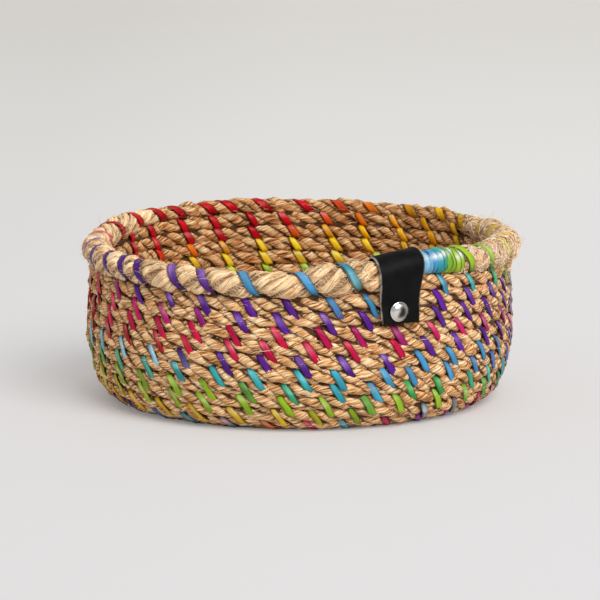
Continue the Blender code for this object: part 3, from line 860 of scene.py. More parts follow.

# %% [markdown]
# ## Dyes and satin
#
# The ribbon is one satin tape dyed in stretches: red, orange, yellow, green, blue
# and purple run into one another along it. Each row's list of dyes says where round
# the bowl a colour begins, as a share of the round counted from the strap. Satin
# shines along its threads, so the material has a low roughness, fine lengthwise
# lines and a soft sheen. Glints and the shade at the ribbon's ends and edges are
# painted into its colour.

# %% Dye lists
DYES = {
    "red": rgb(196, 16, 30),
    "crimson": rgb(206, 12, 70),
    "pink": rgb(226, 66, 100),
    "magenta": rgb(170, 24, 116),
    "purple": rgb(88, 28, 136),
    "lilac": rgb(168, 128, 198),
    "indigo": rgb(62, 56, 150),
    "blue": rgb(70, 150, 200),
    "sky": rgb(150, 205, 228),
    "teal": rgb(54, 168, 176),
    "mint": rgb(92, 190, 150),
    "green": rgb(60, 154, 70),
    "lime": rgb(150, 186, 34),
    "yellow": rgb(240, 206, 40),
    "gold": rgb(240, 172, 16),
    "orange": rgb(232, 116, 24),
}
ROW_DYES = {
    13: "0 crimson .04 teal .055 crimson .07 crimson .085 teal .10 orange .12 crimson .14 teal .25 purple "
        ".5 lime .8 blue .9 crimson .95 teal 1 crimson",
    14: "0 lime .05 lime .07 yellow .3 gold .5 red .75 blue .88 green .95 lime 1 lime",
    15: "0 green .05 lime .2 lime .29 yellow .5 orange .75 purple .87 teal .95 green 1 green",
    16: "0 blue .05 teal .10 green .14 lime .32 lime .5 gold .7 crimson .85 indigo .95 blue 1 blue",
    17: "0 blue .07 teal .17 teal .22 mint .3 green .45 lime .6 gold .75 red .83 purple .92 blue 1 blue",
    18: "0 purple .16 purple .19 sky .25 sky .32 teal .45 yellow .58 gold .7 orange .8 crimson .88 purple "
        "1 purple",
    19: "0 crimson .13 crimson .2 red .36 red .45 gold .53 lime .68 lime .8 teal .88 magenta 1 crimson",
    20: "0 magenta .07 crimson .25 crimson .36 red .42 orange .5 yellow .6 yellow .66 lime .78 teal "
        ".86 purple .97 purple 1 magenta",
    21: "0 purple .12 purple .16 magenta .24 crimson .36 red .44 red .48 orange .55 yellow .7 gold .8 lime "
        ".86 purple 1 purple",
    22: "0 blue .045 blue .06 purple .22 purple .25 crimson .36 red .56 red .6 gold .7 gold .78 lime "
        ".88 green .93 teal .98 blue 1 blue",
    23: "0 mint .02 mint .04 blue .11 blue .13 purple .28 purple .31 lilac .34 pink .38 red .58 red "
        ".62 orange .67 gold .78 yellow .85 yellow .9 lime 1 lime",
}
FLOOR_DYES = "0 purple .15 blue .3 green .45 yellow .6 orange .75 red .9 magenta 1 purple"


def dyed_along(share, places, words):
    """Colours at some shares of a ribbon, blended between its stops' dyes."""
    colors = np.array([DYES[word] for word in words])
    return np.stack([np.interp(share, places, colors[:, channel]) for channel in range(4)], axis=-1)


def dye(row, share):
    """Colour of a row's ribbon at shares of the round."""
    words = ROW_DYES.get(row, FLOOR_DYES).split()
    places = [float(word) for word in words[::2]]
    return dyed_along(np.mod(share, 1.0), places, words[1::2])


# %% Satin material
def satin():
    """Dye from the ribbon's own colour layer, with painted shade and glints, fine lengthwise threads and
    folds.
    """
    material, tree, shader = new_material("satin_ribbon", Roughness=0.28, Specular_IOR_Level=0.16)
    # The dye layer holds the dye with painted shade and painted glints.
    dyed = stored(tree, "dye", "Color")
    thread = stored(tree, "thread", "Vector")
    lines = add_node(tree, "ShaderNodeTexNoise", Vector=thread, Scale=3.0, Detail=4.0, Roughness=0.6)
    patch = add_node(tree, "ShaderNodeTexNoise", Vector=thread, Scale=0.5, Detail=1.0)
    shade = ramp(tree, lines.outputs["Fac"], (0.3, grey(0.72)), (0.68, grey(1.12)))
    worn = ramp(tree, patch.outputs["Fac"], (0.3, grey(0.85)), (0.7, grey(1.1)))
    color = tinted(tree, tinted(tree, dyed, shade), worn)
    finish_surface(tree, shader, color, bumped(tree, lines.outputs["Fac"], 0.35, 0.2 * MM))
    return material


satin_ribbon = satin()
print("dyes:", len(DYES), "and rows with their own list:", len(ROW_DYES))

# %% [markdown]
# ## Stitches
#
# Each stitch comes out of the round below, climbs the outer face of its own round,
# dives over its top and comes down inside, where it shows as a short bead. Only those
# two visible runs are made, as flat tubes with the ribbon's width, a slight crown and
# a fold. A whole winding could be one long tube, but most of it would be hidden. The
# ends are narrower and bend into the rope, as a pulled ribbon does. A stitch is
# repeated hundreds of times, so it has only a few dozen faces.

# %% Ribbon strips
RIBBON_WIDTH = 3.35 * MM
RIBBON_THICKNESS = 0.3 * MM
ACROSS = np.array([1.0, 0.5, -0.5, -1.0, -0.5, 0.5])
THROUGH = np.array([0.0, 1.0, 1.0, 0.0, -1.0, -1.0])
CROWN = 0.18 * MM
DEEPEST_FOLD = 0.35
GLINT_LENGTH = 0.11


def satin_colors(row, share, run, picks, inside_lift):
    """Colours of strips x stations x points round: dye with painted shade and a painted glint.

    The dye varies in a slow wave. Shade is painted in at the ends, where they go into
    the rope, and along the edges. Then the colour is moved towards a paler one as a
    painted glint, where the light would glance off, on one half of the ribbon more than
    the other.
    """
    each = (len(share), 1, 1)
    wave = np.sin(TURN * (run * picks.uniform(0.5, 1.1, each) + picks.uniform(0, 1, each)))
    # Painted shade at the ends, where they go into the rope.
    ends = 0.4 + 0.6 * smooth(run, 0.0, 0.2) * (1 - 0.6 * smooth(run, 0.8, 1.0))
    # Painted shade along the edges.
    edges = np.where(np.abs(ACROSS) > 0.8, 0.6, 1.0)
    shade = picks.uniform(0.78, 1.04, each) * (1 + 0.16 * wave) * ends * edges * (1 + 0.45 * inside_lift)
    # A painted glint: a paler tint of the dye where the light would glance off.
    glint = np.exp(-(((run - picks.uniform(0.2, 0.42, each)) / GLINT_LENGTH) ** 2))
    glint = glint * picks.uniform(-0.3, 0.9, each).clip(0.0, 1.0)
    glint = glint * np.where(ACROSS * picks.choice([-1.0, 1.0], each) > 0.4, 1.0, 0.45)
    plain = dye(row, share[:, None] + 0.014 * (run[..., 0] - 0.5))[:, :, None]
    # The inside stitches are lighter, with more green at a stitch's start and less at its end.
    plain[..., 1] = np.clip(plain[..., 1] * (1 + inside_lift * (0.4 - run)), 0.0, 1.0)
    bright = 0.25 + 0.65 * plain / plain[..., :3].max(axis=-1, keepdims=True)
    color = plain * shade[..., None]
    return np.clip(color + glint[..., None] * (bright - color), 0.0, 1.0)


def ribbon_strips(name, row, middle, outward, share, width, seed, inside_lift=0.0, level=None):
    """Flat tubes along rows of points: across is the width, through the thickness.

    middle and outward are strips x stations x 3; width is strips x stations. With
    level, the rings run along it and not square across, which slants the ends.
    """
    picks = np.random.default_rng(seed)
    count, stations = middle.shape[:2]
    ahead = unit(np.gradient(middle, axis=1))
    side = unit(np.cross(outward, ahead))
    over = np.cross(ahead, side)
    if level is not None:
        lean = np.sum(level * side, axis=-1, keepdims=True)
        side = level / (np.sign(lean) * np.maximum(np.abs(lean), 0.6))
    fold = picks.uniform(-DEEPEST_FOLD, DEEPEST_FOLD, (count, 1, 1)) * MM
    crown = -CROWN * ACROSS**2 + fold * np.where(np.abs(ACROSS) < 0.8, np.sign(ACROSS), 0.0)
    lift = THROUGH * RIBBON_THICKNESS / 2 + crown
    reach = width[..., None] * ACROSS / 2
    points = placed(middle[:, :, None], side[:, :, None], over[:, :, None], reach, lift)
    run = np.linspace(0.0, 1.0, stations)[None, :, None]
    first_thread = picks.uniform(0.0, 60.0, (count, 1, 1))
    thread = np.stack(np.broadcast_arrays(ACROSS * 1.4, run * 0.7, first_thread), axis=-1)
    color = satin_colors(row, share, run, picks, inside_lift)
    return add_tubes(name, on_ground(points), satin_ribbon, dye=color, thread=thread)


# %% Paths of the stitches
FOOT_POINTS = 4
STITCH_TAPER = np.array([0.65, 0.9, 1.0, 1.0, 1.0, 1.0, 1.0, 0.9, 0.6])


def bead_path(places):
    """Inside the bowl a stitch shows only over its own round, as a short bead."""
    reach_out = MM * np.array([-0.3, -1.6, -2.65, -3.05, -3.1, -3.05, -2.75, -1.9, -0.5])
    reach_on = MM * np.array([3.5, 3.1, 2.2, 1.1, 0.0, -1.2, -2.4, -3.3, -3.8])
    turn = np.radians([75.0, 50.0, 26.0, 8.0, 0.0, -8.0, -26.0, -50.0, -75.0])
    middle, along, out, onward = coil_at(places[:, None] - INSIDE_SLOPE * reach_on)
    return placed(middle, out, onward, reach_out, reach_on), unit(towards(turn, -out, onward)), along


def stitch_path(places):
    """Middle lines, outward directions and levels of the stitches' outer runs.

    places are lengths along the rope. The line is set in the rope's own section, and
    the points of its foot in the section of the round below.
    """
    reach_out = MM * np.array([0.4, 1.6, 2.3, 2.6, 2.55, 2.7, 2.75, 2.4, -0.4])
    reach_on = MM * np.array([3.4, 2.9, 1.6, -0.3, -2.3, 2.6, 1.2, 0.0, -0.9])
    turn = np.radians([75.0, 50.0, 24.0, 3.0, 0.0, 0.0, -8.0, -30.0, -50.0])
    climb = reach_on.copy()
    climb[-FOOT_POINTS:] -= PITCH
    length = places[:, None] + climb * OUTSIDE_SLOPE
    upper = coil_at(length[:, :-FOOT_POINTS])
    lower = coil(rounds_at(length[:, -FOOT_POINTS:]) - 1)
    middle, along, out, onward = (np.concatenate(parts, axis=1) for parts in zip(upper, lower))
    return placed(middle, out, onward, reach_out, reach_on), unit(towards(turn, out, onward)), along


# %% Rows of stitches
ROW_SIDES = (("outside", 1, 0.0, stitch_path, 0.98, 0.0), ("inside", -1, 0.5, bead_path, 1.1, 0.4))


def stitch_row(row):
    """All stitches of one round, outside and inside, in two objects.

    The inside ones lie half a space on, and are wider and lighter, with more green towards their start.
    """
    picks = np.random.default_rng(200 + row)
    places, spacing = stitch_places(row) if row < RIM_START else back_places()
    pieces = []
    for word, seed_step, shift, path_of, wide, inside_lift in ROW_SIDES:
        shifted = places + shift * spacing
        middle, outward, level = path_of(shifted)
        share = rounds_at(shifted) - row
        width = RIBBON_WIDTH * wide * picks.uniform(0.85, 1.08, (len(places), 1)) * STITCH_TAPER
        name = f"stitches_{row:02d}_{word}"
        seed = 300 + row + seed_step
        middle = on_ground(middle)
        pieces.append(ribbon_strips(name, row, middle, outward, share, width, seed, inside_lift, level))
    return pieces


# %% Stitches over the rim
RIM_STITCH_POINTS = 17
RIM_STITCH_WIDE = 1.15
RIM_STITCH_ENDS = (math.radians(-80.0), math.radians(262.0))
LAST_RIM_STITCH = BINDING_SHARE - 0.006


def rim_stitches():
    """The ribbon's turns over the rim: a helix from the outside foot over the top to the inside."""
    shares = rounds_at(RIM_STITCHES) - RIM_START
    places = RIM_STITCHES[(RIM_STITCHES > rim_low) & (shares < LAST_RIM_STITCH)]
    angle = np.linspace(*RIM_STITCH_ENDS, RIM_STITCH_POINTS)
    length = places[:, None] + STITCH_SPACING * angle / TURN
    side, rise = rim_radii(length, angle)
    lift = 0.05 * MM + 1.35 * MM * smooth(swell_at(length), 0.2, 1.0)
    lift = lift + 0.6 * MM * smooth(rounds_at(length) - RIM_START, 0.76, 0.81)
    middle, _, out, up = rim_at(length)
    reach_out = (0.97 * side + lift) * np.cos(angle)
    reach_up = (0.97 * rise + lift) * np.sin(angle)
    path = placed(middle, out, up, reach_out, reach_up)
    run = np.linspace(0, 1, RIM_STITCH_POINTS)
    taper = np.interp(run, (0, 0.08, 0.2, 0.8, 0.92, 1), (0.55, 0.8, 1, 1, 0.8, 0.55))
    width = RIBBON_WIDTH * RIM_STITCH_WIDE * taper * np.ones((len(places), 1))
    share = rounds_at(places) - RIM_START
    outward = unit(towards(angle, out, up))
    return ribbon_strips("stitches_rim", RIM_START, path, outward, share, width, 77)


# %% Sew the bowl
stitch_pieces = []
for row in range(1, RIM_START + 1):
    for piece in stitch_row(row):
        if row > FLOOR_ROUNDS:
            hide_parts(f"ribbon_row_{row - FLOOR_ROUNDS:02d}")
        stitch_pieces.append(piece)
rim_sewing = rim_stitches()
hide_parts("ribbon_row_11")
print("stitches:", sum(triangles(piece) for piece in stitch_pieces), "triangles")

# %% [markdown]
# ## The bound end
#
# Beside the strap the ribbon winds closely round the rope's end, each turn lying on
# the edge of the last. Separate rings would be simpler, but they could not slant into
# one another. So one long flat tube does this: its leading edge is lifted and its
# trailing edge is tucked, so the turns overlap like roof tiles. Its dye goes from lime
# through green to sky blue beside the strap.

# %% End binding
BINDING_TURNS = 9
BINDING_POINTS = 28
BINDING_END_GAP = 11.0 * MM
BINDING_WIDTH = 4.3 * MM
BINDING_TILT = math.radians(9.0)
BINDING_CROWN = 0.12 * MM
BINDING_PLACES = (0.0, 0.3, 0.42, 0.55, 0.68, 1.0)
BINDING_DYES = ("lime", "lime", "green", "teal", "blue", "sky")
GLINT_TURN = 0.24


def end_binding():
    """A helix round the rim; the side tilt lifts one edge over the turn before."""
    end = length_at(RIM_START + 1) - BINDING_END_GAP
    start = length_at(RIM_START + BINDING_SHARE)
    share = np.linspace(0.0, 1.0, BINDING_TURNS * BINDING_POINTS + 1)
    angle = TURN * BINDING_TURNS * share - 1.2
    length = start + (end - start) * share
    length = length + 0.35 * MM * wander(share, 0.13, 31) + 0.3 * MM * wander(share, 0.041, 36)
    length = length - 1.6 * MM * (1 - np.sin(angle)) * (1 - smooth(share, 0.0, 0.28))
    length = length + 0.9 * MM * np.sin(angle - 0.8) * wander(share, 0.21, 37)
    reach = rim_half(length) * (0.9 + 0.04 * wander(share, 0.07, 32)) + 0.3 * MM
    middle, along, out, up = rim_at(length)
    path = placed(middle, out, up, RIM_WIDE * reach * np.cos(angle), reach * np.sin(angle))
    leaning = unit(math.cos(BINDING_TILT) * towards(angle, out, up) + math.sin(BINDING_TILT) * along)
    ahead = unit(np.gradient(path, axis=0))
    side = unit(np.cross(leaning, ahead))
    over = np.cross(ahead, side)
    width = BINDING_WIDTH * (1 + 0.12 * wander(share, 0.05, 33))
    lift = THROUGH * RIBBON_THICKNESS / 2 - BINDING_CROWN * ACROSS**2
    points = placed(path[:, None], side[:, None], over[:, None], width[:, None] * ACROSS / 2, lift)
    color = dyed_along(share, BINDING_PLACES, BINDING_DYES)
    picks = np.random.default_rng(34)
    # Painted glint on each turn, where the light would catch it.
    turn = np.clip(np.round(angle / TURN - 0.14).astype(int), 0, BINDING_TURNS)
    from_glint = angle - TURN * turn - picks.normal(0.6, 0.2, BINDING_TURNS + 1)[turn]
    glint = picks.uniform(0.25, 0.95, BINDING_TURNS + 1)[turn] * np.exp(-((from_glint / GLINT_TURN) ** 2))
    glint = glint[:, None] * np.array([0.2, 0.5, 1.0, 0.6, 1.0, 0.5])
    # Painted shade along each turn's edges, in the gaps between turns, times a slow random tone.
    edges = np.where(np.abs(ACROSS) > 0.8, 0.5, 1.0) * (1 + 0.2 * wander(share, 0.07, 35))[:, None]
    color = color[:, None] * edges[..., None]
    color = np.clip(color + glint[..., None] * (0.97 - color), 0.0, 1.0)
    thread_run = share[:, None] * BINDING_TURNS * 3.0
    thread = np.stack(np.broadcast_arrays(ACROSS * 4.0, thread_run, 7.0), axis=-1)
    layers = {"dye": color[None], "thread": thread[None]}
    piece = add_tubes("end_binding_ribbon", points[None], satin_ribbon, **layers)
    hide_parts("end_binding")
    return piece


binding = end_binding()
print("binding:", triangles(binding), "triangles")

# %% [markdown]
# ## The strap
#
# The strap is one piece of black leather, folded over the rim so that both legs lie
# on the wall, with a cap rivet through them. Its cut edges are raw and pale. A plain
# sheet with Solidify could be bent over the rim, but a rounded rectangle carried along
# a line in section follows the wall more closely. The line on the strap's left edge
# sits lower than on its right, because the rope's last round ends under it one step
# higher.

# %% The strap's line in section
STRAP_TOP_WIDTH = 22.0 * MM
STRAP_FOOT_WIDTH = 18.0 * MM
STRAP_THICKNESS = 1.1 * MM
STRAP_TAIL = 5.4 * MM
RIVET_DROP = 0.9 * MM
RIVET_ASIDE = 1.2 * MM
STRAP_SHOULDER = 4.5 * MM
STRAP_WRAP = math.radians(22.0)
CLEARANCE = 0.35 * MM
WALL_CURVE = 0.84 * MM
LABEL_RADIUS = 97.0 * MM
SPLINE_STEPS = 12
ARCH_POINTS = 9
STITCH_BULGE = 0.45 * MM
LEG_OFF = ROPE_HALF + 2 * CLEARANCE + STITCH_BULGE + RIBBON_THICKNESS + STRAP_THICKNESS / 2
RIVET_ROUNDS = np.array([21.0, 22.0])
rivet_height = float(coil(RIVET_ROUNDS)[0][:, 2].sum()) / 2 - RIVET_DROP


def wall_radius(height):
    """The wall's radius at a height, at the rope's middle."""
    return float(np.interp(height, SECTION_HEIGHT, SECTION_RADIUS))


def smooth_line(points, count):
    """A line through points as a Catmull-Rom spline, read at even shares of its length."""
    padded = np.concatenate([2 * points[:1] - points[1:2], points, 2 * points[-1:] - points[-2:-1]])
    spans = len(points) - 1
    parts = np.linspace(0, 1, SPLINE_STEPS, endpoint=False)
    steps = np.arange(spans).repeat(SPLINE_STEPS) + np.tile(parts, spans)
    steps = np.append(steps, spans - 1e-9)
    index = steps.astype(int)
    part = (steps - index)[:, None]
    before, here, after, later = (padded[index + shift] for shift in range(4))
    curve = 0.5 * (
        2 * here
        + (after - before) * part
        + (2 * before - 5 * here + 4 * after - later) * part**2
        + (3 * here - before - 3 * after + later) * part**3
    )
    run = np.concatenate([[0.0], np.cumsum(np.linalg.norm(np.diff(curve, axis=0), axis=1))])
    even = np.linspace(0.0, run[-1], count)
    return np.stack([np.interp(even, run, curve[:, axis]) for axis in range(curve.shape[1])], axis=-1)


def strap_line(length, count):
    """Radius and height of the strap's middle: up outside, over the rim, down inside."""
    place = rim_at(np.array([length]))[0][0]
    radius = float(np.hypot(place[0], place[1])) - WALL_CURVE / 2
    thick = RIM_THIN + max(1.0, float(swell_at(length))) * (RIM_THICK - RIM_THIN)
    over = RIM_WIDE * thick / 2 + CLEARANCE + STRAP_THICKNESS / 2 + WALL_CURVE / 2
    heights = (rivet_height - STRAP_TAIL, rivet_height, rivet_height + STRAP_SHOULDER)
    outside = [(wall_radius(height) + LEG_OFF, height) for height in heights]
    inside = [(wall_radius(height) - WALL_CURVE - LEG_OFF, height) for height in heights[::-1]]
    angles = np.linspace(-STRAP_WRAP, math.pi + STRAP_WRAP, ARCH_POINTS)
    arch = [(radius + over * math.cos(angle), place[2] + over * math.sin(angle)) for angle in angles]
    return smooth_line(np.array(outside + arch + inside), count)


print("the strap's legs lie", round(LEG_OFF / MM, 2), "mm off the rope's middle")


# %% Leather
GRAINS_PER_METRE = 1500.0
CREASES_PER_METRE = 260.0


def leather():
    """Black grained leather. Raw, pale edges come from the strap's own edge layer."""
    material, tree, shader = new_material("black_leather", Roughness=0.5, Specular_IOR_Level=0.1)
    place = add_node(tree, "ShaderNodeTexCoord").outputs["Object"]
    grain = add_node(
        tree, "ShaderNodeTexVoronoi", {"feature": "DISTANCE_TO_EDGE"}, Vector=place, Scale=GRAINS_PER_METRE
    )
    soft = add_node(tree, "ShaderNodeTexNoise", Vector=place, Scale=CREASES_PER_METRE, Detail=3.0)
    edge = stored(tree, "edge")
    black = ramp(tree, soft.outputs["Fac"], (0.3, rgb(4, 4, 4)), (0.7, rgb(14, 13, 13)))
    raw = ramp(tree, soft.outputs["Fac"], (0.35, rgb(104, 96, 90)), (0.6, rgb(196, 188, 180)))
    color = mixed(tree, edge, black, raw)
    grained = bumped(tree, grain.outputs["Distance"], 0.35, 0.2 * MM)
    creased = bumped(tree, soft.outputs["Fac"], 0.3, 0.6 * MM, Normal=grained)
    finish_surface(tree, shader, color, creased)
    return material


# %% Carry the strap along its line
STRAP_STATIONS = 110
STRAP_COLUMNS = 26


def leather_strap():
    """A rounded rectangle carried along the section line, wider over the rim than at its feet."""
    half = STRAP_TOP_WIDTH / 2
    left = strap_line(length_at(RIM_START) + half, STRAP_STATIONS)
    right = strap_line(length_at(RIM_START + 1) - half, STRAP_STATIONS)
    across = np.linspace(1.0, -1.0, STRAP_COLUMNS)
    round_off = np.sqrt(np.clip(1 - np.abs(across) ** 16, 0.05, 1.0))
    ring_across = np.concatenate([across, across[::-1]])
    ring_through = np.concatenate([round_off, -round_off[::-1]])
    share = (1 - ring_across) / 2
    line = left[:, None] + share[None, :, None] * (right - left)[:, None]
    tangent = unit(np.gradient(line, axis=0))
    normal = np.stack([tangent[..., 1], -tangent[..., 0]], axis=-1)
    run = np.linspace(0, 1, STRAP_STATIONS)
    ripple = 0.22 * MM * wander(run[:, None] + 0.3 * share, 0.31, 12)
    place = line + (ring_through * STRAP_THICKNESS / 2 + ripple)[..., None] * normal
    low, high = left[:, 1].min(), left[:, 1].max()
    widths = np.interp(line[..., 1], (low, high), (STRAP_FOOT_WIDTH / STRAP_TOP_WIDTH, 1.0))
    edge_wave = 1 + 0.012 * wander(run, 0.2, 13)[:, None]
    angle = LABEL_ANGLE - ring_across * half / LABEL_RADIUS * widths * edge_wave
    radius, height = place[..., 0], place[..., 1]
    points = np.stack([radius * np.cos(angle), radius * np.sin(angle), height], axis=-1)
    # The edge on the left side is pale all along; the one on the right only a quarter as much.
    worn = np.where(ring_across > 0, 1.0, 0.25)
    edge = worn * smooth(np.abs(ring_across), 0.955, 0.985)
    piece = add_tubes("leather_strap", points[None], leather(), edge=edge[:, None])
    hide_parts("label_strap")
    return piece


strap = leather_strap()
print("strap:", triangles(strap), "triangles")

# %% [markdown]
# ## The cap rivet
#
# The rivet is two turned parts pressed into one another: a domed cap outside and a
# flat head with a post inside. A sphere and a cylinder would miss the small roll at
# the cap's edge, so an outline of radius and distance is turned through a full
# circle. The plate is bright, with a painted reflection: a dark patch, as if the room
# were reflected in it.

# %% Plated steel
MARKS_PER_METRE = 900.0


def plated():
    """Bright nickel plate with a painted reflection in its colour and faint handling marks."""
    material, tree, shader = new_material("plated_steel", Metallic=1.0)
    # Painted reflection: the plate goes from bright through grey to a dark patch where the room would be
    # reflected.
    shades = (rgb(222, 220, 216), rgb(140, 136, 130), rgb(52, 48, 44))
    tone = ramp(tree, stored(tree, "patina"), *zip((0.0, 0.55, 1.0), shades))
    tree.links.new(tone, shader.inputs["Base Color"])
    place = add_node(tree, "ShaderNodeTexCoord").outputs["Object"]
    marks = add_node(tree, "ShaderNodeTexNoise", Vector=place, Scale=MARKS_PER_METRE, Detail=4.0)
    dull = ranged(tree, marks.outputs["Fac"], 0.35, 0.7, 0.1, 0.3)
    tree.links.new(dull, shader.inputs["Roughness"])
    return material


plated_steel = plated()


# %% Turn the rivet's two parts
SWING_POINTS = 48
REFLECTED_PATCH_ANGLE = math.radians(-25.0)
CAP_RADIUS = 4.5 * MM
DOME_SHARE = 0.86
DOME_HEIGHT = 1.5 * MM
DOME_STATIONS = 10
HEAD_THICKNESS = 0.95 * MM
POST_RADIUS = 1.2 * MM
SEAT_GAP = 0.1 * MM


def turned_piece(name, outline, node):
    """An outline of radius and distance along the rivet's line, turned through a full circle."""
    radius, distance = np.array(outline).T
    swing = circle(SWING_POINTS)
    flat = np.array([math.cos(LABEL_ANGLE), math.sin(LABEL_ANGLE), 0.0])
    side = np.array([-flat[1], flat[0], 0.0])
    up = np.array([0.0, 0.0, 1.0])
    centre = distance[:, None, None] * flat + rivet_height * up - RIVET_ASIDE * side
    points = centre + radius[:, None, None] * towards(swing, side, up)
    # Painted reflection: a dark patch in the middle, towards one side, set by the angle round the rivet.
    across = radius[:, None] / radius.max()
    lean = across * np.cos(swing - REFLECTED_PATCH_ANGLE)
    dark = (1 - smooth(across, 0.3, 0.85)) * smooth(lean, -0.35, 0.1) + 0.45 * smooth(lean, 0.3, 0.9)
    patina = np.clip(dark, 0.0, 1.0)[None, ..., None]
    piece = add_tubes(name, points[None], plated_steel, patina=patina)
    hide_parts(node)
    return piece


def rivet_radii():
    """Radii of the strap's outermost and innermost faces at the rivet."""
    radius = wall_radius(rivet_height)
    outer = radius + LEG_OFF + STRAP_THICKNESS / 2
    inner = radius - WALL_CURVE - LEG_OFF - STRAP_THICKNESS / 2
    return outer, inner


outer_face, inner_face = rivet_radii()
cap_seat = outer_face + SEAT_GAP
dome = [
    (CAP_RADIUS * math.cos(climb) * DOME_SHARE, cap_seat + 0.75 * MM + DOME_HEIGHT * math.sin(climb))
    for climb in np.linspace(0.12, math.pi / 2 - 0.001, DOME_STATIONS)
]
cap_outline = [
    (0.4 * MM, cap_seat),
    (4.3 * MM, cap_seat),
    (CAP_RADIUS, cap_seat + 0.25 * MM),
    (4.42 * MM, cap_seat + 0.6 * MM),
    (4.05 * MM, cap_seat + 0.72 * MM),
    *dome,
]
head_seat = inner_face - SEAT_GAP
post_tip = outer_face + 0.4 * MM
head_outline = [
    (0.3 * MM, head_seat - HEAD_THICKNESS),
    (3.2 * MM, head_seat - HEAD_THICKNESS),
    (3.75 * MM, head_seat - 0.8 * MM),
    (4.0 * MM, head_seat - 0.45 * MM),
    (3.9 * MM, head_seat),
    (POST_RADIUS, head_seat),
    (POST_RADIUS, post_tip),
    (0.3 * MM, post_tip),
]
rivet_pieces = [turned_piece("rivet_dome", cap_outline, "rivet_cap")]
rivet_pieces.append(turned_piece("rivet_flat_head", head_outline, "rivet_post"))
rivet_triangles = sum(triangles(piece) for piece in rivet_pieces)
print("rivet at", round(rivet_height / MM, 1), "mm,", rivet_triangles, "triangles")

# %% [markdown]
# ## Stray hairs
#
# Sisal sheds. Short stiff hairs stand off every round, and the soft rim has a haze
# of longer ones. In its frayed stretch beside the binding, fine fibres lie tangled on
# the surface. Blender's hair system would have to be converted for the export, so the
# hairs are thin three-sided tubes, bent by a seeded curl, all in a few meshes.

# %% Hairs that stand off
HAIR_STATIONS = 6
HAIR_POINTS = 3
THINNEST_HAIR = 0.04


def hairs(name, start, leave, length, curl, thickness, seed):
    """Thin tubes: a straight run along leave, bent more and more by a random sideways curl."""
    picks = np.random.default_rng(seed)
    count = len(start)
    run = np.linspace(0.0, 1.0, HAIR_STATIONS)[None, :, None]
    bend = unit(picks.normal(size=(count, 3)))[:, None]
    swirl = unit(picks.normal(size=(count, 3)))[:, None]
    reach = length[:, None, None]
    path = start[:, None] + reach * run * leave[:, None]
    path = path + reach * curl[:, None, None] * (run**2 * bend + 0.6 * np.sin(4.0 * run) * run * swirl)
    path[..., 2] = np.maximum(path[..., 2], 0.1 * MM)
    ahead = unit(np.gradient(path, axis=1))
    side = unit(np.cross(ahead, bend + 0.01))
    over = np.cross(side, ahead)
    ring = circle(HAIR_POINTS)
    taper = (1 - 0.75 * run**2) * thickness[:, None, None]
    sideways, upwards = taper * np.cos(ring), taper * np.sin(ring)
    points = placed(path[:, :, None], side[:, :, None], -over[:, :, None], sideways, upwards)
    tone = picks.beta(1.6, 1.3, (count, 1, 1, 1))
    piece = add_tubes(name, points, hair_sisal, tone=tone)
    return piece


# %% Fibres that lie on the rim
FIBRE_STATIONS = 12
BUNDLE_RADIUS = 5.5 * MM


def lying_fibres(name, low, high, count, curl, reach, girth, material, seed):
    """Fine fibres that lie on the rim between two shares of the round and curl over it.

    Each one walks over the bundle's surface in steps of length and angle, with a
    heading that turns steadily and sways, which is how loose fibres tangle.
    """
    picks = np.random.default_rng(seed)
    each = (count, 1)
    run = np.linspace(0.0, 1.0, FIBRE_STATIONS)
    size = picks.uniform(4.5, 11.0, each) * MM
    sway = np.sin(TURN * (run * picks.uniform(0.6, 1.6, each) + picks.uniform(0, 1, each)))
    heading = picks.normal(0.3, 0.45, each) + picks.choice([0.0, math.pi], each)
    heading = heading + curl * (picks.uniform(-2.6, 2.6, each) * run + picks.uniform(0.2, 0.9, each) * sway)
    step = size / (FIBRE_STATIONS - 1)
    ends = length_at(RIM_START + np.array([low, high]))
    length = picks.uniform(*ends, each) + np.cumsum(np.cos(heading) * step, axis=1)
    angle = picks.uniform(-1.9, 4.9, each) + np.cumsum(np.sin(heading) * step, axis=1) / BUNDLE_RADIUS
    side, rise = rim_radii(length, angle)
    off = picks.uniform(*reach, each) + 0.035 * np.sin(TURN * run + picks.uniform(0, TURN, each))
    middle, _, out, up = rim_at(length)
    outward = towards(angle, out, up)
    path = placed(middle, out, up, off * side * np.cos(angle), off * rise * np.sin(angle))
    across = unit(np.cross(unit(np.gradient(path, axis=1)), outward))
    ring = circle(HAIR_POINTS)
    thick = picks.uniform(*girth, (count, 1, 1)) * MM * (1 - 0.6 * (2 * run - 1) ** 4)[None, :, None]
    sideways, upwards = thick * np.cos(ring), thick * np.sin(ring)
    points = placed(path[:, :, None], across[:, :, None], outward[:, :, None], sideways, upwards)
    piece = add_tubes(name, points, material, tone=picks.beta(1.3, 1.3, (count, 1, 1, 1)))
    return piece


# %% Hairs of the rope and of the rim
HAIR_ROOT = 2.9 * MM
RIM_HAIR_ROOT = 0.92
RIM_HAIR_ANGLES = (math.radians(-100.0), math.radians(280.0))


def grown(name, picks, start, along, away, lean, stray, sizes, curls, thickest, seed):
    """Hairs that leave the rope along it, either way, a little away from it and astray."""
    count = len(start)
    along = along * picks.choice([-1.0, 1.0], count)[:, None]
    leave = along + picks.uniform(0.0, lean, count)[:, None] * away
    leave = unit(leave + picks.normal(size=(count, 3)) * stray)
    size = picks.uniform(*sizes, count) * MM
    curl = picks.uniform(*curls, count)
    thickness = picks.uniform(THINNEST_HAIR, thickest, count) * MM
    return hairs(name, start, leave, size, curl, thickness, seed + 1)


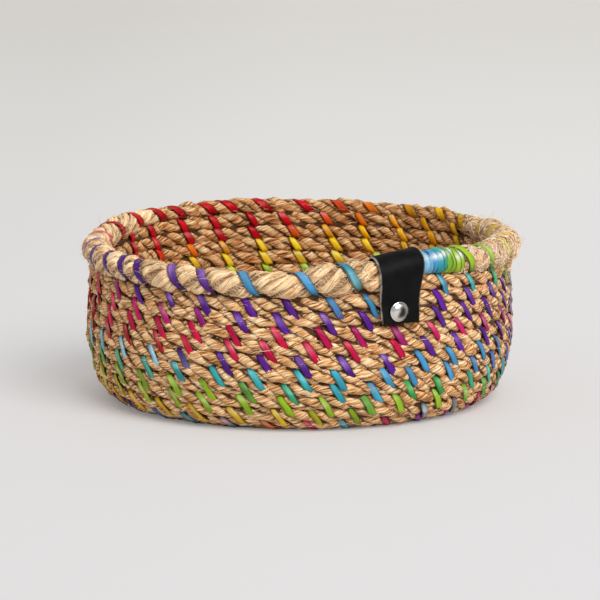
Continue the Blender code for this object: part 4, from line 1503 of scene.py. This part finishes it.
def rope_hairs(name, low, high, count, seed):
    """Hairs on the rounds between two numbers of rounds, outside and inside."""
    picks = np.random.default_rng(seed)
    length = picks.uniform(length_at(low), length_at(high), count)
    angle = picks.uniform(0.0, TURN, count)
    middle, along, out, onward = coil_at(length)
    away = towards(angle, out, onward)
    start = middle + HAIR_ROOT * away
    return grown(name, picks, start, along, away, 0.28, 0.16, (2.5, 7.0), (0.05, 0.3), 0.1, seed)


def rim_hairs(name, low, high, count, sizes, curls, seed):
    """Hairs on the rim between two shares of the last round."""
    picks = np.random.default_rng(seed)
    length = picks.uniform(length_at(RIM_START + low), length_at(RIM_START + high), count)
    angle = picks.uniform(*RIM_HAIR_ANGLES, count)
    side, rise = rim_radii(length, angle)
    middle, along, out, up = rim_at(length)
    away = towards(angle, out, up)
    root_out = RIM_HAIR_ROOT * side * np.cos(angle)
    root_up = RIM_HAIR_ROOT * rise * np.sin(angle)
    start = placed(middle, out, up, root_out, root_up)
    return grown(name, picks, start, along, away, 0.3, 0.25, sizes, curls, 0.08, seed)


# %% Grow the hairs
hair_pieces = [
    rope_hairs("hairs_wall", FLOOR_ROUNDS, RIM_START, 2200, 500),
    rope_hairs("hairs_floor", 1, FLOOR_ROUNDS, 400, 510),
    rim_hairs("hairs_rim_front", 0.03, 0.40, 1800, (2.0, 6.5), (0.1, 0.5), 520),
    rim_hairs("hairs_rim_back", 0.40, 0.80, 500, (2.0, 5.0), (0.1, 0.4), 530),
    rim_hairs("hairs_rim_frayed", 0.74, 0.935, 1200, (2.5, 6.5), (0.3, 0.9), 540),
    lying_fibres("tangle_frayed", 0.735, 0.94, 1150, 3.4, (0.96, 1.13), (0.17, 0.34), frayed_sisal, 550),
    lying_fibres("tangle_fine", 0.735, 0.94, 900, 2.6, (0.98, 1.18), (0.07, 0.13), frayed_sisal, 555),
    lying_fibres("tangle_front", 0.0, 0.40, 1300, 0.4, (0.93, 0.99), (0.07, 0.15), hair_sisal, 560),
]
print("hairs:", sum(triangles(piece) for piece in hair_pieces), "triangles")

# %% [markdown]
# ## Floor, light and camera
#
# The bowl was photographed with a long lens on a pale surface, about ten degrees
# above it, under broad soft light. A large plane under a plain bright sky does the
# same, and one big lamp from the front right gives the shapes their modelling. The
# plane is lit like any other surface, and for the camera's own rays it is mixed with
# a paper white, so that it stays pale into the distance. That white carries painted
# shade: it is a little darker towards the back and towards the left. In front of the
# bowl, and most of all under it, less of that white is mixed in, so that its shadow shows.

# %% The pale floor
FLOOR_SIZE = 6.0
FLOOR_COLOR = rgb(228, 226, 226)
# Painted shade on the paper white: a little darker towards the back and towards the left.
DEPTH_SHADES = (
    (0.0, rgb(229, 228, 229)),
    (0.3, rgb(226, 225, 225)),
    (0.55, rgb(226, 225, 222)),
    (0.95, rgb(216, 213, 207)),
)
SIDE_SHADES = ((0.0, grey(0.93)), (0.5, grey(1.0)), (1.0, (1.015, 1.015, 1.02, 1.0)))


def stage_floor():
    """A large plane whose paper white gives way to lit floor and shadow near the bowl."""
    mesh = bpy.data.meshes.new("floor")
    signs = ((-1, -1), (1, -1), (1, 1), (-1, 1))
    mesh.from_pydata([(FLOOR_SIZE * x, FLOOR_SIZE * y, 0.0) for x, y in signs], [], [(0, 1, 2, 3)])
    floor = bpy.data.objects.new("floor", mesh)
    bpy.context.scene.collection.objects.link(floor)
    material, tree, shader = new_material(
        "pale_floor", Roughness=0.6, Specular_IOR_Level=0.1, Base_Color=FLOOR_COLOR
    )
    place = add_node(tree, "ShaderNodeTexCoord").outputs["Object"]
    apart = add_node(tree, "ShaderNodeSeparateXYZ", Vector=place)
    paper = ramp(tree, ranged(tree, apart.outputs["Y"], -0.4, 1.6, 0.0, 1.0), *DEPTH_SHADES)
    sides = ramp(tree, ranged(tree, apart.outputs["X"], -0.16, 0.16, 0.0, 1.0), *SIDE_SHADES)
    seen = add_node(tree, "ShaderNodeEmission", Color=tinted(tree, paper, sides))
    behind = ranged(tree, apart.outputs["Y"], 0.05, 0.6, 0.4, 0.9)
    from_centre = add_node(tree, "ShaderNodeVectorMath", {"operation": "LENGTH"}, in0=place)
    clear = ranged(tree, from_centre.outputs["Value"], 0.08, 0.11, 0.5, 1.0)
    ray = add_node(tree, "ShaderNodeLightPath").outputs["Is Camera Ray"]
    share = calculated(tree, "MULTIPLY", calculated(tree, "MULTIPLY", behind, clear), ray)
    both = add_node(
        tree, "ShaderNodeMixShader", in0=share, in1=shader.outputs["BSDF"], in2=seen.outputs["Emission"]
    )
    tree.links.new(both.outputs["Shader"], tree.nodes["Material Output"].inputs["Surface"])
    mesh.materials.append(material)


stage_floor()
print("floor:", 2 * FLOOR_SIZE, "m wide")

# %% The sky and the key lamp
SKY_COLOR = (1.0, 0.99, 0.97, 1.0)
SKY_STRENGTH = 0.5
KEY_RIGHT = math.radians(30.0)
KEY_HEIGHT = math.radians(41.0)
KEY_STRENGTH = 2.5
KEY_SPREAD = math.radians(42.0)
world = bpy.data.worlds.new("studio")
bpy.context.scene.world = world
world.use_nodes = True
sky = world.node_tree.nodes["Background"]
sky.inputs["Color"].default_value = SKY_COLOR
sky.inputs["Strength"].default_value = SKY_STRENGTH
key_data = bpy.data.lights.new("key", "SUN")
key_data.energy = KEY_STRENGTH
key_data.angle = KEY_SPREAD
key = bpy.data.objects.new("key", key_data)
bpy.context.scene.collection.objects.link(key)
key.rotation_euler = (math.pi / 2 - KEY_HEIGHT, 0.0, KEY_RIGHT)
print("key lamp:", round(math.degrees(KEY_HEIGHT)), "degrees high")

# %% Camera
CAMERA_DISTANCE = 2.2
CAMERA_ELEVATION = math.radians(10.08)
AIM_HEIGHT = 0.044
SEEN_WIDTH = 0.276
SENSOR_WIDTH = 36.0
camera_data = bpy.data.cameras.new("camera")
camera_data.sensor_width = SENSOR_WIDTH
camera_data.lens = SENSOR_WIDTH * CAMERA_DISTANCE / SEEN_WIDTH
camera = bpy.data.objects.new("camera", camera_data)
bpy.context.scene.collection.objects.link(camera)
camera.location = (
    0.0,
    -CAMERA_DISTANCE * math.cos(CAMERA_ELEVATION),
    AIM_HEIGHT + CAMERA_DISTANCE * math.sin(CAMERA_ELEVATION),
)
camera.rotation_euler = (math.pi / 2 - CAMERA_ELEVATION, 0.0, 0.0)
bpy.context.scene.camera = camera
bpy.context.scene.view_settings.view_transform = "Standard"
print("lens:", round(camera_data.lens), "mm")

# %% Finish
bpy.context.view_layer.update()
total = sum(triangles(piece) for piece in bpy.context.scene.objects if piece.type == "MESH")
print("triangles in all:", total)
